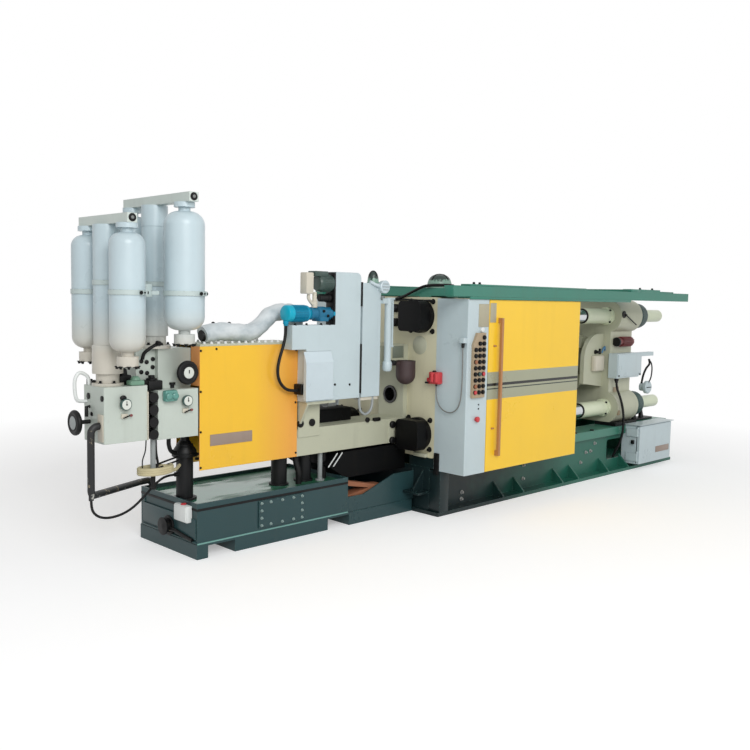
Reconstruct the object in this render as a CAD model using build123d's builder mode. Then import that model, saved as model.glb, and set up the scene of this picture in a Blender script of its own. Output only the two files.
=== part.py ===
from build123d import *
import os
from math import pi, radians, tan

os.makedirs("parts", exist_ok=True)

# A cold-chamber die casting machine. X runs along the machine: 0 is the outer face of
# the fixed platen, the shot end lies at -X and the toggle end at +X. The operator
# stands at -Y, and Z is up from the floor.

# Driving dimensions in millimetres
base_length = 3840
base_half_width = 635
base_top = 450
axis_height = 1100
tie_bar_diameter = 130
tie_bar_half_pitch_y = 400
tie_bar_half_pitch_z = 466
platen_thickness = 255
platen_half_width = 560
platen_top = 1716
moving_platen_start = 1560
rear_platen_start = 2790
rear_platen_end = 3210
cabinet_length = 253
guard_face = 871
guard_bottom = 360
guard_top = 1708
door_length = 1278
rail_bottom = 1726
rail_height = 80
rail_top = rail_bottom + rail_height
shot_axis_y = -115
shot_axis_z = 925
shot_half_width = 135
tank_length = 1320
tank_half_width = 350
tank_top = 365
skid_left = -2040
skid_half_width = 356
skid_height = 97
seat_gap = 0.3
running_gap = 5
plate = 20
sheet = 6
cut_overrun = 10


def slab(x0, x1, y0, y1, z0, z1, mode=Mode.ADD):
    """Add a straight block between two opposite corners to the part being built."""
    with Locations(((x0 + x1) / 2, (y0 + y1) / 2, (z0 + z1) / 2)):
        return Box(x1 - x0, y1 - y0, z1 - z0, mode=mode)


def bar_x(x0, x1, y, z, diameter, mode=Mode.ADD):
    """Add a round bar along X to the part being built."""
    with Locations(Location(((x0 + x1) / 2, y, z), (0, 90, 0))):
        return Cylinder(diameter / 2, x1 - x0, mode=mode)


def bar_y(y0, y1, x, z, diameter, mode=Mode.ADD):
    """Add a round bar along Y to the part being built."""
    with Locations(Location((x, (y0 + y1) / 2, z), (90, 0, 0))):
        return Cylinder(diameter / 2, y1 - y0, mode=mode)


def bar_z(z0, z1, x, y, diameter, mode=Mode.ADD):
    """Add an upright round bar to the part being built."""
    with Locations((x, y, (z0 + z1) / 2)):
        return Cylinder(diameter / 2, z1 - z0, mode=mode)


tie_bar_places = [
    (side * tie_bar_half_pitch_y, axis_height + level * tie_bar_half_pitch_z)
    for side in (-1, 1)
    for level in (-1, 1)
]

# Clamp base: a welded frame with a bottom plate, two side plates, cross plates,
# slideways on top and gussets along the foot
foot_thickness = 30
foot_lip = 20
side_plate_face = 520
slideway_height = 80
slideway_inner = 300
slideway_outer = 560
slideway_bottom = base_top - slideway_height
opening_start = 2680
opening_length = 330
opening_bottom = 120
opening_height = 200
opening_corner = 30

cross_plate_count = 4
cross_plate_pitch = (base_length - plate) / (cross_plate_count - 1)
gusset_height = 125
gusset_thickness = 16
gusset_reach = base_half_width - side_plate_face
gusset_places_share = [0.213, 0.289, 0.448, 0.518, 0.659, 0.76]
with BuildPart() as base_frame:
    slab(-foot_lip, base_length, -base_half_width, base_half_width, 0, foot_thickness)
    with BuildSketch(Plane.XZ.offset(side_plate_face - plate)):
        with Locations((base_length / 2, (foot_thickness + slideway_bottom) / 2)):
            Rectangle(base_length, slideway_bottom - foot_thickness)
        with Locations((opening_start + opening_length / 2, opening_bottom + opening_height / 2)):
            RectangleRounded(opening_length, opening_height, opening_corner, mode=Mode.SUBTRACT)
    extrude(amount=plate)
    for share in gusset_places_share:
        with BuildSketch(Plane.YZ.offset(share * base_length)):
            with BuildLine():
                Polyline(
                    (-side_plate_face, foot_thickness),
                    (-side_plate_face - gusset_reach, foot_thickness),
                    (-side_plate_face - gusset_reach, foot_thickness + gusset_thickness),
                    (-side_plate_face, foot_thickness + gusset_height),
                    close=True,
                )
            make_face()
        extrude(amount=gusset_thickness)
    mirror(about=Plane.XZ)
    for index in range(cross_plate_count):
        slab(
            index * cross_plate_pitch, index * cross_plate_pitch + plate,
            plate - side_plate_face, side_plate_face - plate,
            foot_thickness, slideway_bottom,
        )
base_frame.part.label = "base_frame"
export_step(base_frame.part, "parts/base_frame.step")

with BuildPart() as base_slideways:
    for side in (-1, 1):
        with BuildSketch(Plane.YZ):
            with Locations((side * (slideway_inner + slideway_outer) / 2, base_top - slideway_height / 2)):
                Rectangle(slideway_outer - slideway_inner, slideway_height)
        extrude(amount=base_length)
base_slideways.part.label = "base_slideways"
export_step(base_slideways.part, "parts/base_slideways.step")

# Fixed platen with a boss plate for the shot end and bores for the tie bars
sleeve_bore = 145
platen_edge = 18
bore_diameter = tie_bar_diameter + 2 * seat_gap
with BuildPart() as fixed_platen:
    with BuildSketch(Plane.YZ):
        with Locations((0, (base_top + platen_top) / 2)):
            RectangleRounded(2 * platen_half_width, platen_top - base_top, platen_edge)
        with Locations(*tie_bar_places):
            Circle(bore_diameter / 2, mode=Mode.SUBTRACT)
        with Locations((shot_axis_y, shot_axis_z)):
            Circle(sleeve_bore / 2, mode=Mode.SUBTRACT)
    extrude(amount=platen_thickness)
fixed_platen.part.label = "fixed_platen"
export_step(fixed_platen.part, "parts/fixed_platen.step")

# Tie bars, from the nuts on the fixed platen to the caps behind the rear platen
nut_diameter = 262
nut_length = 150
nut_cap = 24
ring_length = 190
ring_diameter = 250
cap_diameter = 130
tie_bar_end = rear_platen_end + ring_length
with BuildPart() as tie_bars:
    for y, z in tie_bar_places:
        bar_x(nut_cap - nut_length, tie_bar_end, y, z, tie_bar_diameter)
tie_bars.part.label = "tie_bars"
export_step(tie_bars.part, "parts/tie_bars.step")

# Clamp nuts on the fixed platen: a round flange, and a square block closed over the bar's end
nut_block_width = 236
nut_block_corner = 36
nut_flange = 44
with BuildPart() as tie_bar_nuts:
    with BuildSketch(Plane.YZ.offset(-nut_flange)):
        with Locations(*tie_bar_places):
            Circle(nut_diameter / 2)
    extrude(amount=nut_flange)
    with BuildSketch(Plane.YZ.offset(-nut_length)):
        with Locations(*tie_bar_places):
            RectangleRounded(nut_block_width, nut_block_width, nut_block_corner)
    extrude(amount=nut_length - nut_flange)
    for y, z in tie_bar_places:
        bar_x(nut_cap - nut_length - seat_gap, 0, y, z, bore_diameter, Mode.SUBTRACT)
tie_bar_nuts.part.label = "tie_bar_nuts"
export_step(tie_bar_nuts.part, "parts/tie_bar_nuts.step")

# Moving platen and its toggle, which the closed guard mostly hides
moving_platen_end = moving_platen_start + platen_thickness
slide_shoe_height = 36
platen_bottom = base_top + slide_shoe_height
lug_length = 170
shoe_half_width = 120
lug_thickness = 60
lug_half_height = 110
lug_level = 190
lug_pitch = 190
pin_diameter = 90
knuckle_share = 0.52
knuckle_x = moving_platen_end + knuckle_share * (rear_platen_start - moving_platen_end)
knuckle_level = 330
link_width = 150

def platen_lugs(wall, reach):
    """Add the pairs of toggle lugs on one platen's inner face."""
    for level in (-1, 1):
        for y in (-lug_pitch, lug_pitch):
            slab(
                min(wall, wall + reach), max(wall, wall + reach),
                y - lug_thickness / 2, y + lug_thickness / 2,
                axis_height + level * lug_level - lug_half_height / 2,
                axis_height + level * lug_level + lug_half_height / 2,
            )
            bar_y(
                y - lug_thickness / 2, y + lug_thickness / 2, wall + reach / 2,
                axis_height + level * lug_level, pin_diameter + 2 * seat_gap, Mode.SUBTRACT,
            )


with BuildPart() as moving_platen:
    with BuildSketch(Plane.YZ.offset(moving_platen_start)):
        with Locations((0, (platen_bottom + platen_top) / 2)):
            RectangleRounded(2 * platen_half_width, platen_top - platen_bottom, platen_edge)
        with Locations(*tie_bar_places):
            Circle(bore_diameter / 2, mode=Mode.SUBTRACT)
    extrude(amount=platen_thickness)
    platen_lugs(moving_platen_end, lug_length)
moving_platen.part.label = "moving_platen"
export_step(moving_platen.part, "parts/moving_platen.step")

with BuildPart() as slide_shoes:
    for start, end in (
        (moving_platen_start, moving_platen_end),
        (rear_platen_start, rear_platen_end),
    ):
        for side in (-1, 1):
            slab(
                start, end,
                side * (slideway_inner + slideway_outer) / 2 - shoe_half_width,
                side * (slideway_inner + slideway_outer) / 2 + shoe_half_width,
                base_top, platen_bottom,
            )
slide_shoes.part.label = "slide_shoes"
export_step(slide_shoes.part, "parts/slide_shoes.step")


# The links run from the lugs to knuckles above and below the axis: the front links
# lie outside the lugs and the rear links inside them
link_thickness = 70
front_pin_x = moving_platen_end + lug_length / 2
rear_pin_x = rear_platen_start - lug_length / 2
lug_outside = lug_pitch + lug_thickness / 2 + seat_gap
lug_inside = lug_pitch - lug_thickness / 2 - seat_gap


def link_between(start, end, y0, y1):
    """Add a flat link with round ends and pin holes between two (x, z) pin centres."""
    run = end[0] - start[0]
    rise = end[1] - start[1]
    length = (run ** 2 + rise ** 2) ** 0.5
    middle = ((start[0] + end[0]) / 2, y1, (start[1] + end[1]) / 2)
    with BuildSketch(Plane(origin=middle, x_dir=(run, 0, rise), z_dir=(0, -1, 0))) as profile:
        SlotCenterToCenter(length, link_width)
        with Locations((-length / 2, 0), (length / 2, 0)):
            Circle(pin_diameter / 2 + seat_gap, mode=Mode.SUBTRACT)
    extrude(profile.sketch, amount=y1 - y0)


with BuildPart() as toggle_links:
    for level in (-1, 1):
        lug_z = axis_height + level * lug_level
        knuckle = (knuckle_x, axis_height + level * knuckle_level)
        for side in (-1, 1):
            front = sorted((side * lug_outside, side * (lug_outside + link_thickness)))
            rear = sorted((side * lug_inside, side * (lug_inside - link_thickness)))
            link_between((front_pin_x, lug_z), knuckle, *front)
            link_between(knuckle, (rear_pin_x, lug_z), *rear)
            ends = sorted((side * (lug_inside - link_thickness), side * (lug_outside + link_thickness)))
            bar_y(*ends, *knuckle, pin_diameter)
            bar_y(*ends, front_pin_x, lug_z, pin_diameter)
            bar_y(*ends, rear_pin_x, lug_z, pin_diameter)
toggle_links.part.label = "toggle_links"
export_step(toggle_links.part, "parts/toggle_links.step")

# Crosshead on two guide rods, pushed by the closing cylinder behind the rear platen
crosshead_gap = 130
crosshead_start = knuckle_x + crosshead_gap
crosshead_length = 110
crosshead_half_width = 85
crosshead_half_height = 230
guide_rod_diameter = 50
guide_rod_level = 175
closing_rod_diameter = 85
closing_cylinder_diameter = 260
closing_cylinder_length = 520
with BuildPart() as crosshead:
    slab(
        crosshead_start, crosshead_start + crosshead_length,
        -crosshead_half_width, crosshead_half_width,
        axis_height - crosshead_half_height, axis_height + crosshead_half_height,
    )
    for level in (-1, 1):
        bar_x(
            crosshead_start, crosshead_start + crosshead_length, 0,
            axis_height + level * guide_rod_level, guide_rod_diameter + 2 * seat_gap, Mode.SUBTRACT,
        )
    bar_x(crosshead_start + crosshead_length, rear_platen_start, 0, axis_height, closing_rod_diameter)
    for level in (-1, 1):
        bar_x(
            crosshead_start - crosshead_length, rear_platen_start, 0,
            axis_height + level * guide_rod_level, guide_rod_diameter,
        )
crosshead.part.label = "crosshead"
export_step(crosshead.part, "parts/crosshead.step")

# Rear platen: a waisted block with round corner bosses about the tie bars
rear_waist_half_width = 450
rear_boss_diameter = 330
rear_top = axis_height + tie_bar_half_pitch_z + rear_boss_diameter / 2 - plate
with BuildPart() as rear_platen:
    with BuildSketch(Plane.YZ.offset(rear_platen_start)):
        with Locations((0, axis_height)):
            Rectangle(2 * rear_waist_half_width, 2 * tie_bar_half_pitch_z)
        with Locations((0, (platen_bottom + rear_top) / 2)):
            Rectangle(2 * tie_bar_half_pitch_y, rear_top - platen_bottom)
        with Locations(*tie_bar_places):
            Circle(rear_boss_diameter / 2)
            Circle(bore_diameter / 2, mode=Mode.SUBTRACT)
        with Locations((0, platen_bottom - rear_boss_diameter / 2)):
            Rectangle(2 * base_half_width, rear_boss_diameter, mode=Mode.SUBTRACT)
    extrude(amount=rear_platen_end - rear_platen_start)
    platen_lugs(rear_platen_start, -lug_length)
rear_platen.part.label = "rear_platen"
export_step(rear_platen.part, "parts/rear_platen.step")

sleeve_length = 470
sleeve_diameter = 152
sleeve_flange_diameter = 178
sleeve_flange_length = 42
cap_length = 440
cap_round = 18
with BuildPart() as tie_bar_covers:
    with BuildSketch(Plane.YZ.offset(rear_platen_start - sleeve_length)):
        with Locations(*tie_bar_places):
            Circle(sleeve_diameter / 2)
            Circle(bore_diameter / 2, mode=Mode.SUBTRACT)
    extrude(amount=sleeve_length)
    with BuildSketch(Plane.YZ.offset(rear_platen_start - sleeve_flange_length)):
        with Locations(*tie_bar_places):
            Circle(sleeve_flange_diameter / 2)
            Circle(bore_diameter / 2, mode=Mode.SUBTRACT)
    extrude(amount=sleeve_flange_length)
    for y, z in tie_bar_places:
        bar_x(tie_bar_end, tie_bar_end + cap_length, y, z, cap_diameter)
    fillet(tie_bar_covers.faces().sort_by(Axis.X)[-4:].edges(), cap_round)
tie_bar_covers.part.label = "tie_bar_covers"
export_step(tie_bar_covers.part, "parts/tie_bar_covers.step")

with BuildPart() as gear_rings:
    with BuildSketch(Plane.YZ.offset(rear_platen_end)):
        with Locations(*tie_bar_places):
            Circle(ring_diameter / 2)
            Circle(bore_diameter / 2, mode=Mode.SUBTRACT)
    extrude(amount=ring_length)
gear_rings.part.label = "gear_rings"
export_step(gear_rings.part, "parts/gear_rings.step")

with BuildPart() as closing_cylinder:
    bar_x(
        rear_platen_end, rear_platen_end + closing_cylinder_length, 0, axis_height,
        closing_cylinder_diameter,
    )
    bar_x(
        rear_platen_end, rear_platen_end + 2 * plate, 0, axis_height,
        closing_cylinder_diameter + 4 * plate,
    )
closing_cylinder.part.label = "closing_cylinder"
export_step(closing_cylinder.part, "parts/closing_cylinder.step")

# The quarter-round castings beside the toggle, bolted to the rear platen's face
casting_reach = 350
casting_bottom = 845
casting_top = 1385
casting_face = 370
casting_thickness = 45
casting_round = 260
with BuildPart() as toggle_castings:
    with BuildSketch(Plane.XZ.offset(casting_face - casting_thickness)):
        with BuildLine():
            outline = Polyline(
                (rear_platen_start, casting_bottom),
                (rear_platen_start - casting_reach, casting_bottom + casting_thickness),
                (rear_platen_start - casting_reach, casting_top - casting_round),
            )
            arc = RadiusArc(
                outline @ 1,
                (rear_platen_start - casting_reach + casting_round, casting_top),
                casting_round,
            )
            Polyline(arc @ 1, (rear_platen_start, casting_top), (rear_platen_start, casting_bottom))
        make_face()
    extrude(amount=casting_thickness)
    mirror(about=Plane.XZ)
toggle_castings.part.label = "toggle_castings"
export_step(toggle_castings.part, "parts/toggle_castings.step")

# Die-height motor on the near side of the rear platen
height_motor_diameter = 66
height_motor_length = 300
height_motor_level = 205
height_motor_start = rear_platen_start + 3 * plate
height_motor_y = -rear_waist_half_width - height_motor_diameter / 2
with BuildPart() as height_motor:
    bar_x(
        height_motor_start, height_motor_start + height_motor_length, height_motor_y,
        axis_height + height_motor_level, height_motor_diameter,
    )
    bar_x(
        height_motor_start, height_motor_start + 2 * plate, height_motor_y,
        axis_height + height_motor_level, height_motor_diameter + plate,
    )
    slab(
        height_motor_start, rear_platen_end, -rear_waist_half_width - height_motor_diameter / 2,
        -rear_waist_half_width,
        axis_height + height_motor_level - plate, axis_height + height_motor_level + plate,
    )
    split(bisect_by=Plane.XZ.offset(rear_waist_half_width), keep=Keep.TOP)
height_motor.part.label = "height_motor"
export_step(height_motor.part, "parts/height_motor.step")

# Junction box on the near side of the rear platen, with a cable arm to the rear
junction_depth = 100
junction_bottom = 940
junction_top = 1190
arm_length = 300
arm_height = 40
with BuildPart() as junction_box:
    slab(
        rear_platen_start - plate, rear_platen_end,
        -rear_waist_half_width - junction_depth, -rear_waist_half_width,
        junction_bottom, junction_top,
    )
    slab(
        rear_platen_end, rear_platen_end + arm_length,
        -rear_waist_half_width - junction_depth, -rear_waist_half_width - junction_depth / 2,
        junction_top - arm_height, junction_top,
    )
junction_box.part.label = "junction_box"
export_step(junction_box.part, "parts/junction_box.step")

# Electrical box low on the near side of the base, with a hinged front door
box_start = 2975
box_length = 680
box_bottom = 62
box_top = 455
box_face = 715
box_wall = 8
box_door_thickness = 28
hinge_diameter = 16
hinge_y = -box_face + box_door_thickness / 2
hinge_x = box_start - hinge_diameter / 2
hinge_shares = [0.18, 0.82]
leaf_thickness = 6
box_door_start = box_start + hinge_diameter / 2 + running_gap
with BuildPart() as electrical_box:
    slab(
        box_start, box_start + box_length, -box_face + box_door_thickness + running_gap,
        -slideway_outer, box_bottom, box_top,
    )
    slab(
        box_start + box_wall, box_start + box_length - box_wall, -box_face, -slideway_outer - box_wall,
        box_bottom + box_wall, box_top - box_wall, Mode.SUBTRACT,
    )
    slab(
        box_start, box_start + box_length, -slideway_outer, -side_plate_face,
        box_bottom, slideway_bottom,
    )
    slab(
        box_start - plate, box_start + box_length + plate, -box_face - plate, -slideway_outer,
        box_top + running_gap, box_top + running_gap + sheet,
    )
    slab(
        box_start, box_start + box_length, -slideway_outer - 2 * plate, -slideway_outer,
        box_top, box_top + running_gap,
    )
    for share in hinge_shares:
        middle = box_bottom + share * (box_top - box_bottom)
        bar_z(middle - 2 * plate, middle + 2 * plate, hinge_x, hinge_y, hinge_diameter)
        slab(
            box_start - hinge_diameter, box_start, hinge_y, -slideway_outer - plate,
            middle - 2 * plate, middle + 2 * plate,
        )
electrical_box.part.label = "electrical_box"
export_step(electrical_box.part, "parts/electrical_box.step")

with BuildPart() as electrical_box_door:
    slab(
        box_door_start, box_start + box_length,
        -box_face, -box_face + box_door_thickness, box_bottom, box_top - running_gap,
    )
    for share in hinge_shares:
        middle = box_bottom + share * (box_top - box_bottom)
        low = middle + 2 * plate + seat_gap
        bar_z(low, low + plate, hinge_x, hinge_y, hinge_diameter)
        slab(
            hinge_x, box_door_start, hinge_y - leaf_thickness / 2, hinge_y + leaf_thickness / 2,
            low, low + plate,
        )
electrical_box_door.part.label = "electrical_box_door"
export_step(electrical_box_door.part, "parts/electrical_box_door.step")

# Control cabinet beside the fixed platen on the near side, and its plain far twin
cabinet_edge = 8
cabinet_gland_y = 842
cabinet_gland_z = 1376
with BuildPart() as side_cabinets:
    slab(0, cabinet_length, -guard_face, -platen_half_width, guard_bottom, guard_top)
    fillet(side_cabinets.edges().filter_by(Axis.Z).group_by(Axis.Y)[0], cabinet_edge)
    mirror(about=Plane.XZ)
    slab(
        -2 * plate, 0, -cabinet_gland_y - plate, -cabinet_gland_y + plate,
        cabinet_gland_z, cabinet_gland_z + 2 * plate,
    )
side_cabinets.part.label = "side_cabinets"
export_step(side_cabinets.part, "parts/side_cabinets.step")

panel_start = 47
panel_length = 146
panel_bottom = 957
panel_top = 1453
panel_thickness = 6
button_rows = 9
button_diameter = 27
button_height = 16
button_pitch_z = (panel_top - panel_bottom) / button_rows
stop_diameter = 42
stop_height = 32
stop_drop = 75
with BuildPart() as button_panel:
    slab(
        panel_start, panel_start + panel_length, -guard_face - panel_thickness, -guard_face,
        panel_bottom, panel_top,
    )
    with BuildSketch(Plane.XZ.offset(guard_face + panel_thickness)):
        with Locations((panel_start + panel_length / 2, (panel_bottom + panel_top) / 2)):
            with GridLocations(panel_length / 2, button_pitch_z, 2, button_rows):
                Circle(button_diameter / 2)
    extrude(amount=button_height)
    bar_y(
        -guard_face - stop_height, -guard_face, panel_start + panel_length / 2,
        panel_bottom - stop_drop, stop_diameter,
    )
button_panel.part.label = "button_panel"
export_step(button_panel.part, "parts/button_panel.step")

# Sliding guard doors on both sides, hung from the rails by two trolleys each
door_thickness = 60
door_start = cabinet_length + running_gap
door_inner = guard_face - door_thickness
door_edge = 6
rail_width = 90
handle_clearance = 14
rail_wall = 8
rail_lip = 24
rail_start = -195
rail_end = 3550
far_rail_start = 0
rail_outer = guard_face + handle_clearance
rail_centre = rail_outer - rail_width / 2
hanger_thickness = 12
wheel_diameter = 46
wheel_width = 14
handle_x = 380
handle_bottom = 480
handle_top = 1565
handle_width = 24
handle_depth = 40


def guard_door(side, name):
    """Build one sliding guard door for the near (-1) or the far (1) side."""
    with BuildPart() as door:
        with BuildSketch(Plane.XZ.offset(-side * door_inner)):
            with Locations((door_start + door_length / 2, (guard_bottom + guard_top) / 2)):
                Rectangle(door_length, guard_top - guard_bottom)
        extrude(amount=-side * door_thickness)
        fillet(door.faces().sort_by(Axis.Y)[0 if side < 0 else -1].edges(), door_edge)
    door.part.label = name
    export_step(door.part, f"parts/{name}.step")


guard_door(-1, "near_guard_door")
guard_door(1, "far_guard_door")


trolley_inset = 190


def door_fittings(side, name):
    """Build a guard door's pull bar and the two trolleys that carry it in its rail."""
    wheel_z = rail_bottom + rail_wall + wheel_diameter / 2 + seat_gap
    outer = side * (guard_face + handle_depth)
    inner = side * (guard_face + handle_depth - plate)
    face = side * guard_face
    centre = side * rail_centre
    with BuildPart() as fittings:
        slab(handle_x - handle_width / 2, handle_x + handle_width / 2,
             min(inner, outer), max(inner, outer), handle_bottom, handle_top)
        for z in (handle_bottom, handle_top - 2 * plate):
            slab(handle_x - handle_width / 2, handle_x + handle_width / 2,
                 min(face, inner), max(face, inner), z, z + 2 * plate)
        for x in (door_start + trolley_inset, door_start + door_length - trolley_inset):
            slab(x - 2 * plate, x + 2 * plate, centre - hanger_thickness / 2,
                 centre + hanger_thickness / 2, guard_top, wheel_z)
            bar_y(centre - hanger_thickness / 2 - wheel_width, centre + hanger_thickness / 2 + wheel_width,
                  x, wheel_z, wheel_diameter)
    fittings.part.label = name
    export_step(fittings.part, f"parts/{name}.step")


door_fittings(-1, "near_door_fittings")
door_fittings(1, "far_door_fittings")


with BuildPart() as door_rails:
    with BuildSketch(Plane.YZ.offset(rail_start)):
        for side in (-1, 1):
            with Locations((side * rail_centre, (rail_bottom + rail_top) / 2)):
                Rectangle(rail_width, rail_top - rail_bottom)
                Rectangle(rail_width - 2 * rail_wall, rail_top - rail_bottom - 2 * rail_wall,
                          mode=Mode.SUBTRACT)
            with Locations((side * rail_centre, rail_bottom)):
                Rectangle(rail_width - 2 * rail_wall - 2 * rail_lip, 2 * rail_wall + cut_overrun,
                          mode=Mode.SUBTRACT)
    extrude(amount=rail_end - rail_start)
    slab(
        rail_start - cut_overrun, far_rail_start, 0, rail_outer + cut_overrun,
        rail_bottom - cut_overrun, rail_top + cut_overrun, Mode.SUBTRACT,
    )
door_rails.part.label = "door_rails"
export_step(door_rails.part, "parts/door_rails.step")

# Cross beams on the platens that carry both rails: the front one between the rails, the rear
# one on top of them
beam_height = 26
front_beam_height = 62
front_beam_top = rail_bottom + front_beam_height
rail_inner = rail_outer - rail_width
front_beam_start = 30
front_beam_length = 190
rear_beam_start = 2560
rear_beam_length = 380
foot_half_width = 60
with BuildPart() as rail_cross_beams:
    slab(
        front_beam_start, front_beam_start + front_beam_length, -rail_inner, rail_inner,
        rail_bottom, front_beam_top,
    )
    slab(
        rear_beam_start, rear_beam_start + rear_beam_length, -rail_outer, rail_outer,
        rail_top, rail_top + beam_height,
    )
    for side in (-1, 1):
        slab(
            front_beam_start, front_beam_start + front_beam_length,
            side * tie_bar_half_pitch_y - foot_half_width, side * tie_bar_half_pitch_y + foot_half_width,
            platen_top, rail_bottom,
        )
        slab(
            rear_platen_start, rear_beam_start + rear_beam_length,
            side * tie_bar_half_pitch_y / 2 - foot_half_width,
            side * tie_bar_half_pitch_y / 2 + foot_half_width,
            rear_top, rail_top,
        )
rail_cross_beams.part.label = "rail_cross_beams"
export_step(rail_cross_beams.part, "parts/rail_cross_beams.step")

# Injection skid: a fabricated base with two pockets for a forklift
pocket_width = 212
pocket_height = 82
pocket_inset = 190
tank_end = skid_left + tank_length
with BuildPart() as injection_skid:
    slab(skid_left, -foot_lip - seat_gap, -skid_half_width, skid_half_width, 0, skid_height)
    for centre in (skid_left + pocket_inset, tank_end - pocket_inset / 2):
        slab(
            centre - pocket_width / 2, centre + pocket_width / 2,
            -skid_half_width - cut_overrun, skid_half_width + cut_overrun,
            -cut_overrun, pocket_height, Mode.SUBTRACT,
        )
injection_skid.part.label = "injection_skid"
export_step(injection_skid.part, "parts/injection_skid.step")

# Oil tank on the skid: an open-topped welded box with a sunk lid
tank_wall = 12
tank_inset = 4
tank_start = skid_left + tank_inset
tank_lid_drop = 26
tank_lid_thickness = 8
tank_lid_top = tank_top - tank_lid_drop
frame_width = 46
frame_depth = 6
with BuildPart() as oil_tank:
    slab(tank_start, tank_end, -tank_half_width, tank_half_width, skid_height, tank_top)
    slab(
        tank_start + tank_wall, tank_end - tank_wall,
        -tank_half_width + tank_wall, tank_half_width - tank_wall,
        skid_height + tank_wall, tank_top + cut_overrun, Mode.SUBTRACT,
    )
    slab(
        tank_start - cut_overrun, tank_start + frame_depth,
        -tank_half_width + frame_width, tank_half_width - frame_width,
        skid_height + frame_width, tank_top - frame_width, Mode.SUBTRACT,
    )
oil_tank.part.label = "oil_tank"
export_step(oil_tank.part, "parts/oil_tank.step")

with BuildPart() as tank_lid:
    slab(
        tank_start + tank_wall, tank_end - tank_wall,
        -tank_half_width + tank_wall, tank_half_width - tank_wall,
        tank_lid_top - tank_lid_thickness, tank_lid_top,
    )
tank_lid.part.label = "tank_lid"
export_step(tank_lid.part, "parts/tank_lid.step")

cover_plate_start = -1550
cover_plate_length = 400
cover_plate_bottom = 122
cover_plate_height = 188
cover_plate_thickness = 10
with BuildPart() as tank_cover_plates:
    slab(
        cover_plate_start, cover_plate_start + cover_plate_length,
        -tank_half_width - cover_plate_thickness, -tank_half_width,
        cover_plate_bottom, cover_plate_bottom + cover_plate_height,
    )
    mirror(about=Plane.XZ)
tank_cover_plates.part.label = "tank_cover_plates"
export_step(tank_cover_plates.part, "parts/tank_cover_plates.step")

# Switch box and round port on the tank's end face
switch_box_width = 150
switch_box_centre_y = -215
switch_box_bottom = 232
switch_box_height = 116
switch_box_depth = 40
port_diameter = 95
port_y = -20
port_z = 165
port_depth = 60
with BuildPart() as tank_end_fittings:
    slab(
        tank_start - switch_box_depth, tank_start,
        switch_box_centre_y - switch_box_width / 2, switch_box_centre_y + switch_box_width / 2,
        switch_box_bottom, switch_box_bottom + switch_box_height,
    )
    slab(
        tank_start, tank_start + frame_depth,
        switch_box_centre_y - frame_width, switch_box_centre_y + frame_width,
        switch_box_bottom, tank_top - frame_width,
    )
    bar_x(tank_start - port_depth, tank_start, port_y, port_z, port_diameter)
    bar_x(tank_start - port_depth / 2, tank_start, port_y, port_z, port_diameter + 2 * plate)
tank_end_fittings.part.label = "tank_end_fittings"
export_step(tank_end_fittings.part, "parts/tank_end_fittings.step")

# Side plates that bridge from the tank to the clamp base
bridge_low = 213
bridge_high = 326
bridge_low_length = 160
bridge_low_end = tank_end + bridge_low_length
bridge_high_start = -230
with BuildPart() as bridge_sides:
    with BuildSketch(Plane.XZ.offset(tank_half_width - tank_wall)):
        with BuildLine():
            Polyline(
                (tank_end, skid_height),
                (-seat_gap, skid_height),
                (-seat_gap, bridge_high),
                (bridge_high_start, bridge_high),
                (bridge_low_end, bridge_low),
                (tank_end, bridge_low),
                close=True,
            )
        make_face()
    extrude(amount=tank_wall)
    mirror(about=Plane.XZ)
bridge_sides.part.label = "bridge_sides"
export_step(bridge_sides.part, "parts/bridge_sides.step")

# Black cover over the hoses that run from under the platen to the tank, with a slanted end
# over the tank's lid
hose_cover_half_width = 250
hose_cover_bottom = 335
hose_cover_bottom_start = -655
hose_cover_lip_start = -838
hose_cover_lip_height = 450
hose_cover_top_start = -709
hose_cover_top = 535
hose_cover_step_start = -100
hose_cover_step_height = 500
with BuildPart() as hose_cover:
    with BuildSketch(Plane.XZ.offset(-hose_cover_half_width)):
        with BuildLine():
            Polyline(
                (hose_cover_bottom_start, hose_cover_bottom),
                (-seat_gap, hose_cover_bottom),
                (-seat_gap, hose_cover_step_height),
                (hose_cover_step_start, hose_cover_top),
                (hose_cover_top_start, hose_cover_top),
                (hose_cover_lip_start, hose_cover_lip_height),
                close=True,
            )
        make_face()
    extrude(amount=2 * hose_cover_half_width)
hose_cover.part.label = "hose_cover"
export_step(hose_cover.part, "parts/hose_cover.step")

# Shot frame: lower and upper beams from the fixed platen to a rear plate
shot_near = shot_axis_y - shot_half_width
shot_far = shot_axis_y + shot_half_width
frame_beam_bottom = 555
frame_beam_top = 750
upper_beam_bottom = 1180
upper_beam_top = 1330
rear_plate_start = -1640
rear_plate_thickness = 90
beam_flange_thickness = 46
beam_flange_overhang = 34
beam_flange_lip = 8
with BuildPart() as shot_frame:
    for low, high in ((frame_beam_bottom, frame_beam_top), (upper_beam_bottom, upper_beam_top)):
        slab(rear_plate_start + rear_plate_thickness, 0, shot_near, shot_far, low, high)
    slab(
        -beam_flange_thickness, 0, shot_near - beam_flange_lip, shot_far,
        frame_beam_bottom - beam_flange_overhang, upper_beam_top + beam_flange_lip,
    )
    slab(
        rear_plate_start, rear_plate_start + rear_plate_thickness,
        shot_near, shot_far, frame_beam_bottom, upper_beam_top,
    )
    bar_x(
        rear_plate_start - cut_overrun, cut_overrun, shot_axis_y, shot_axis_z, sleeve_bore,
        Mode.SUBTRACT,
    )
shot_frame.part.label = "shot_frame"
export_step(shot_frame.part, "parts/shot_frame.step")

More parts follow.
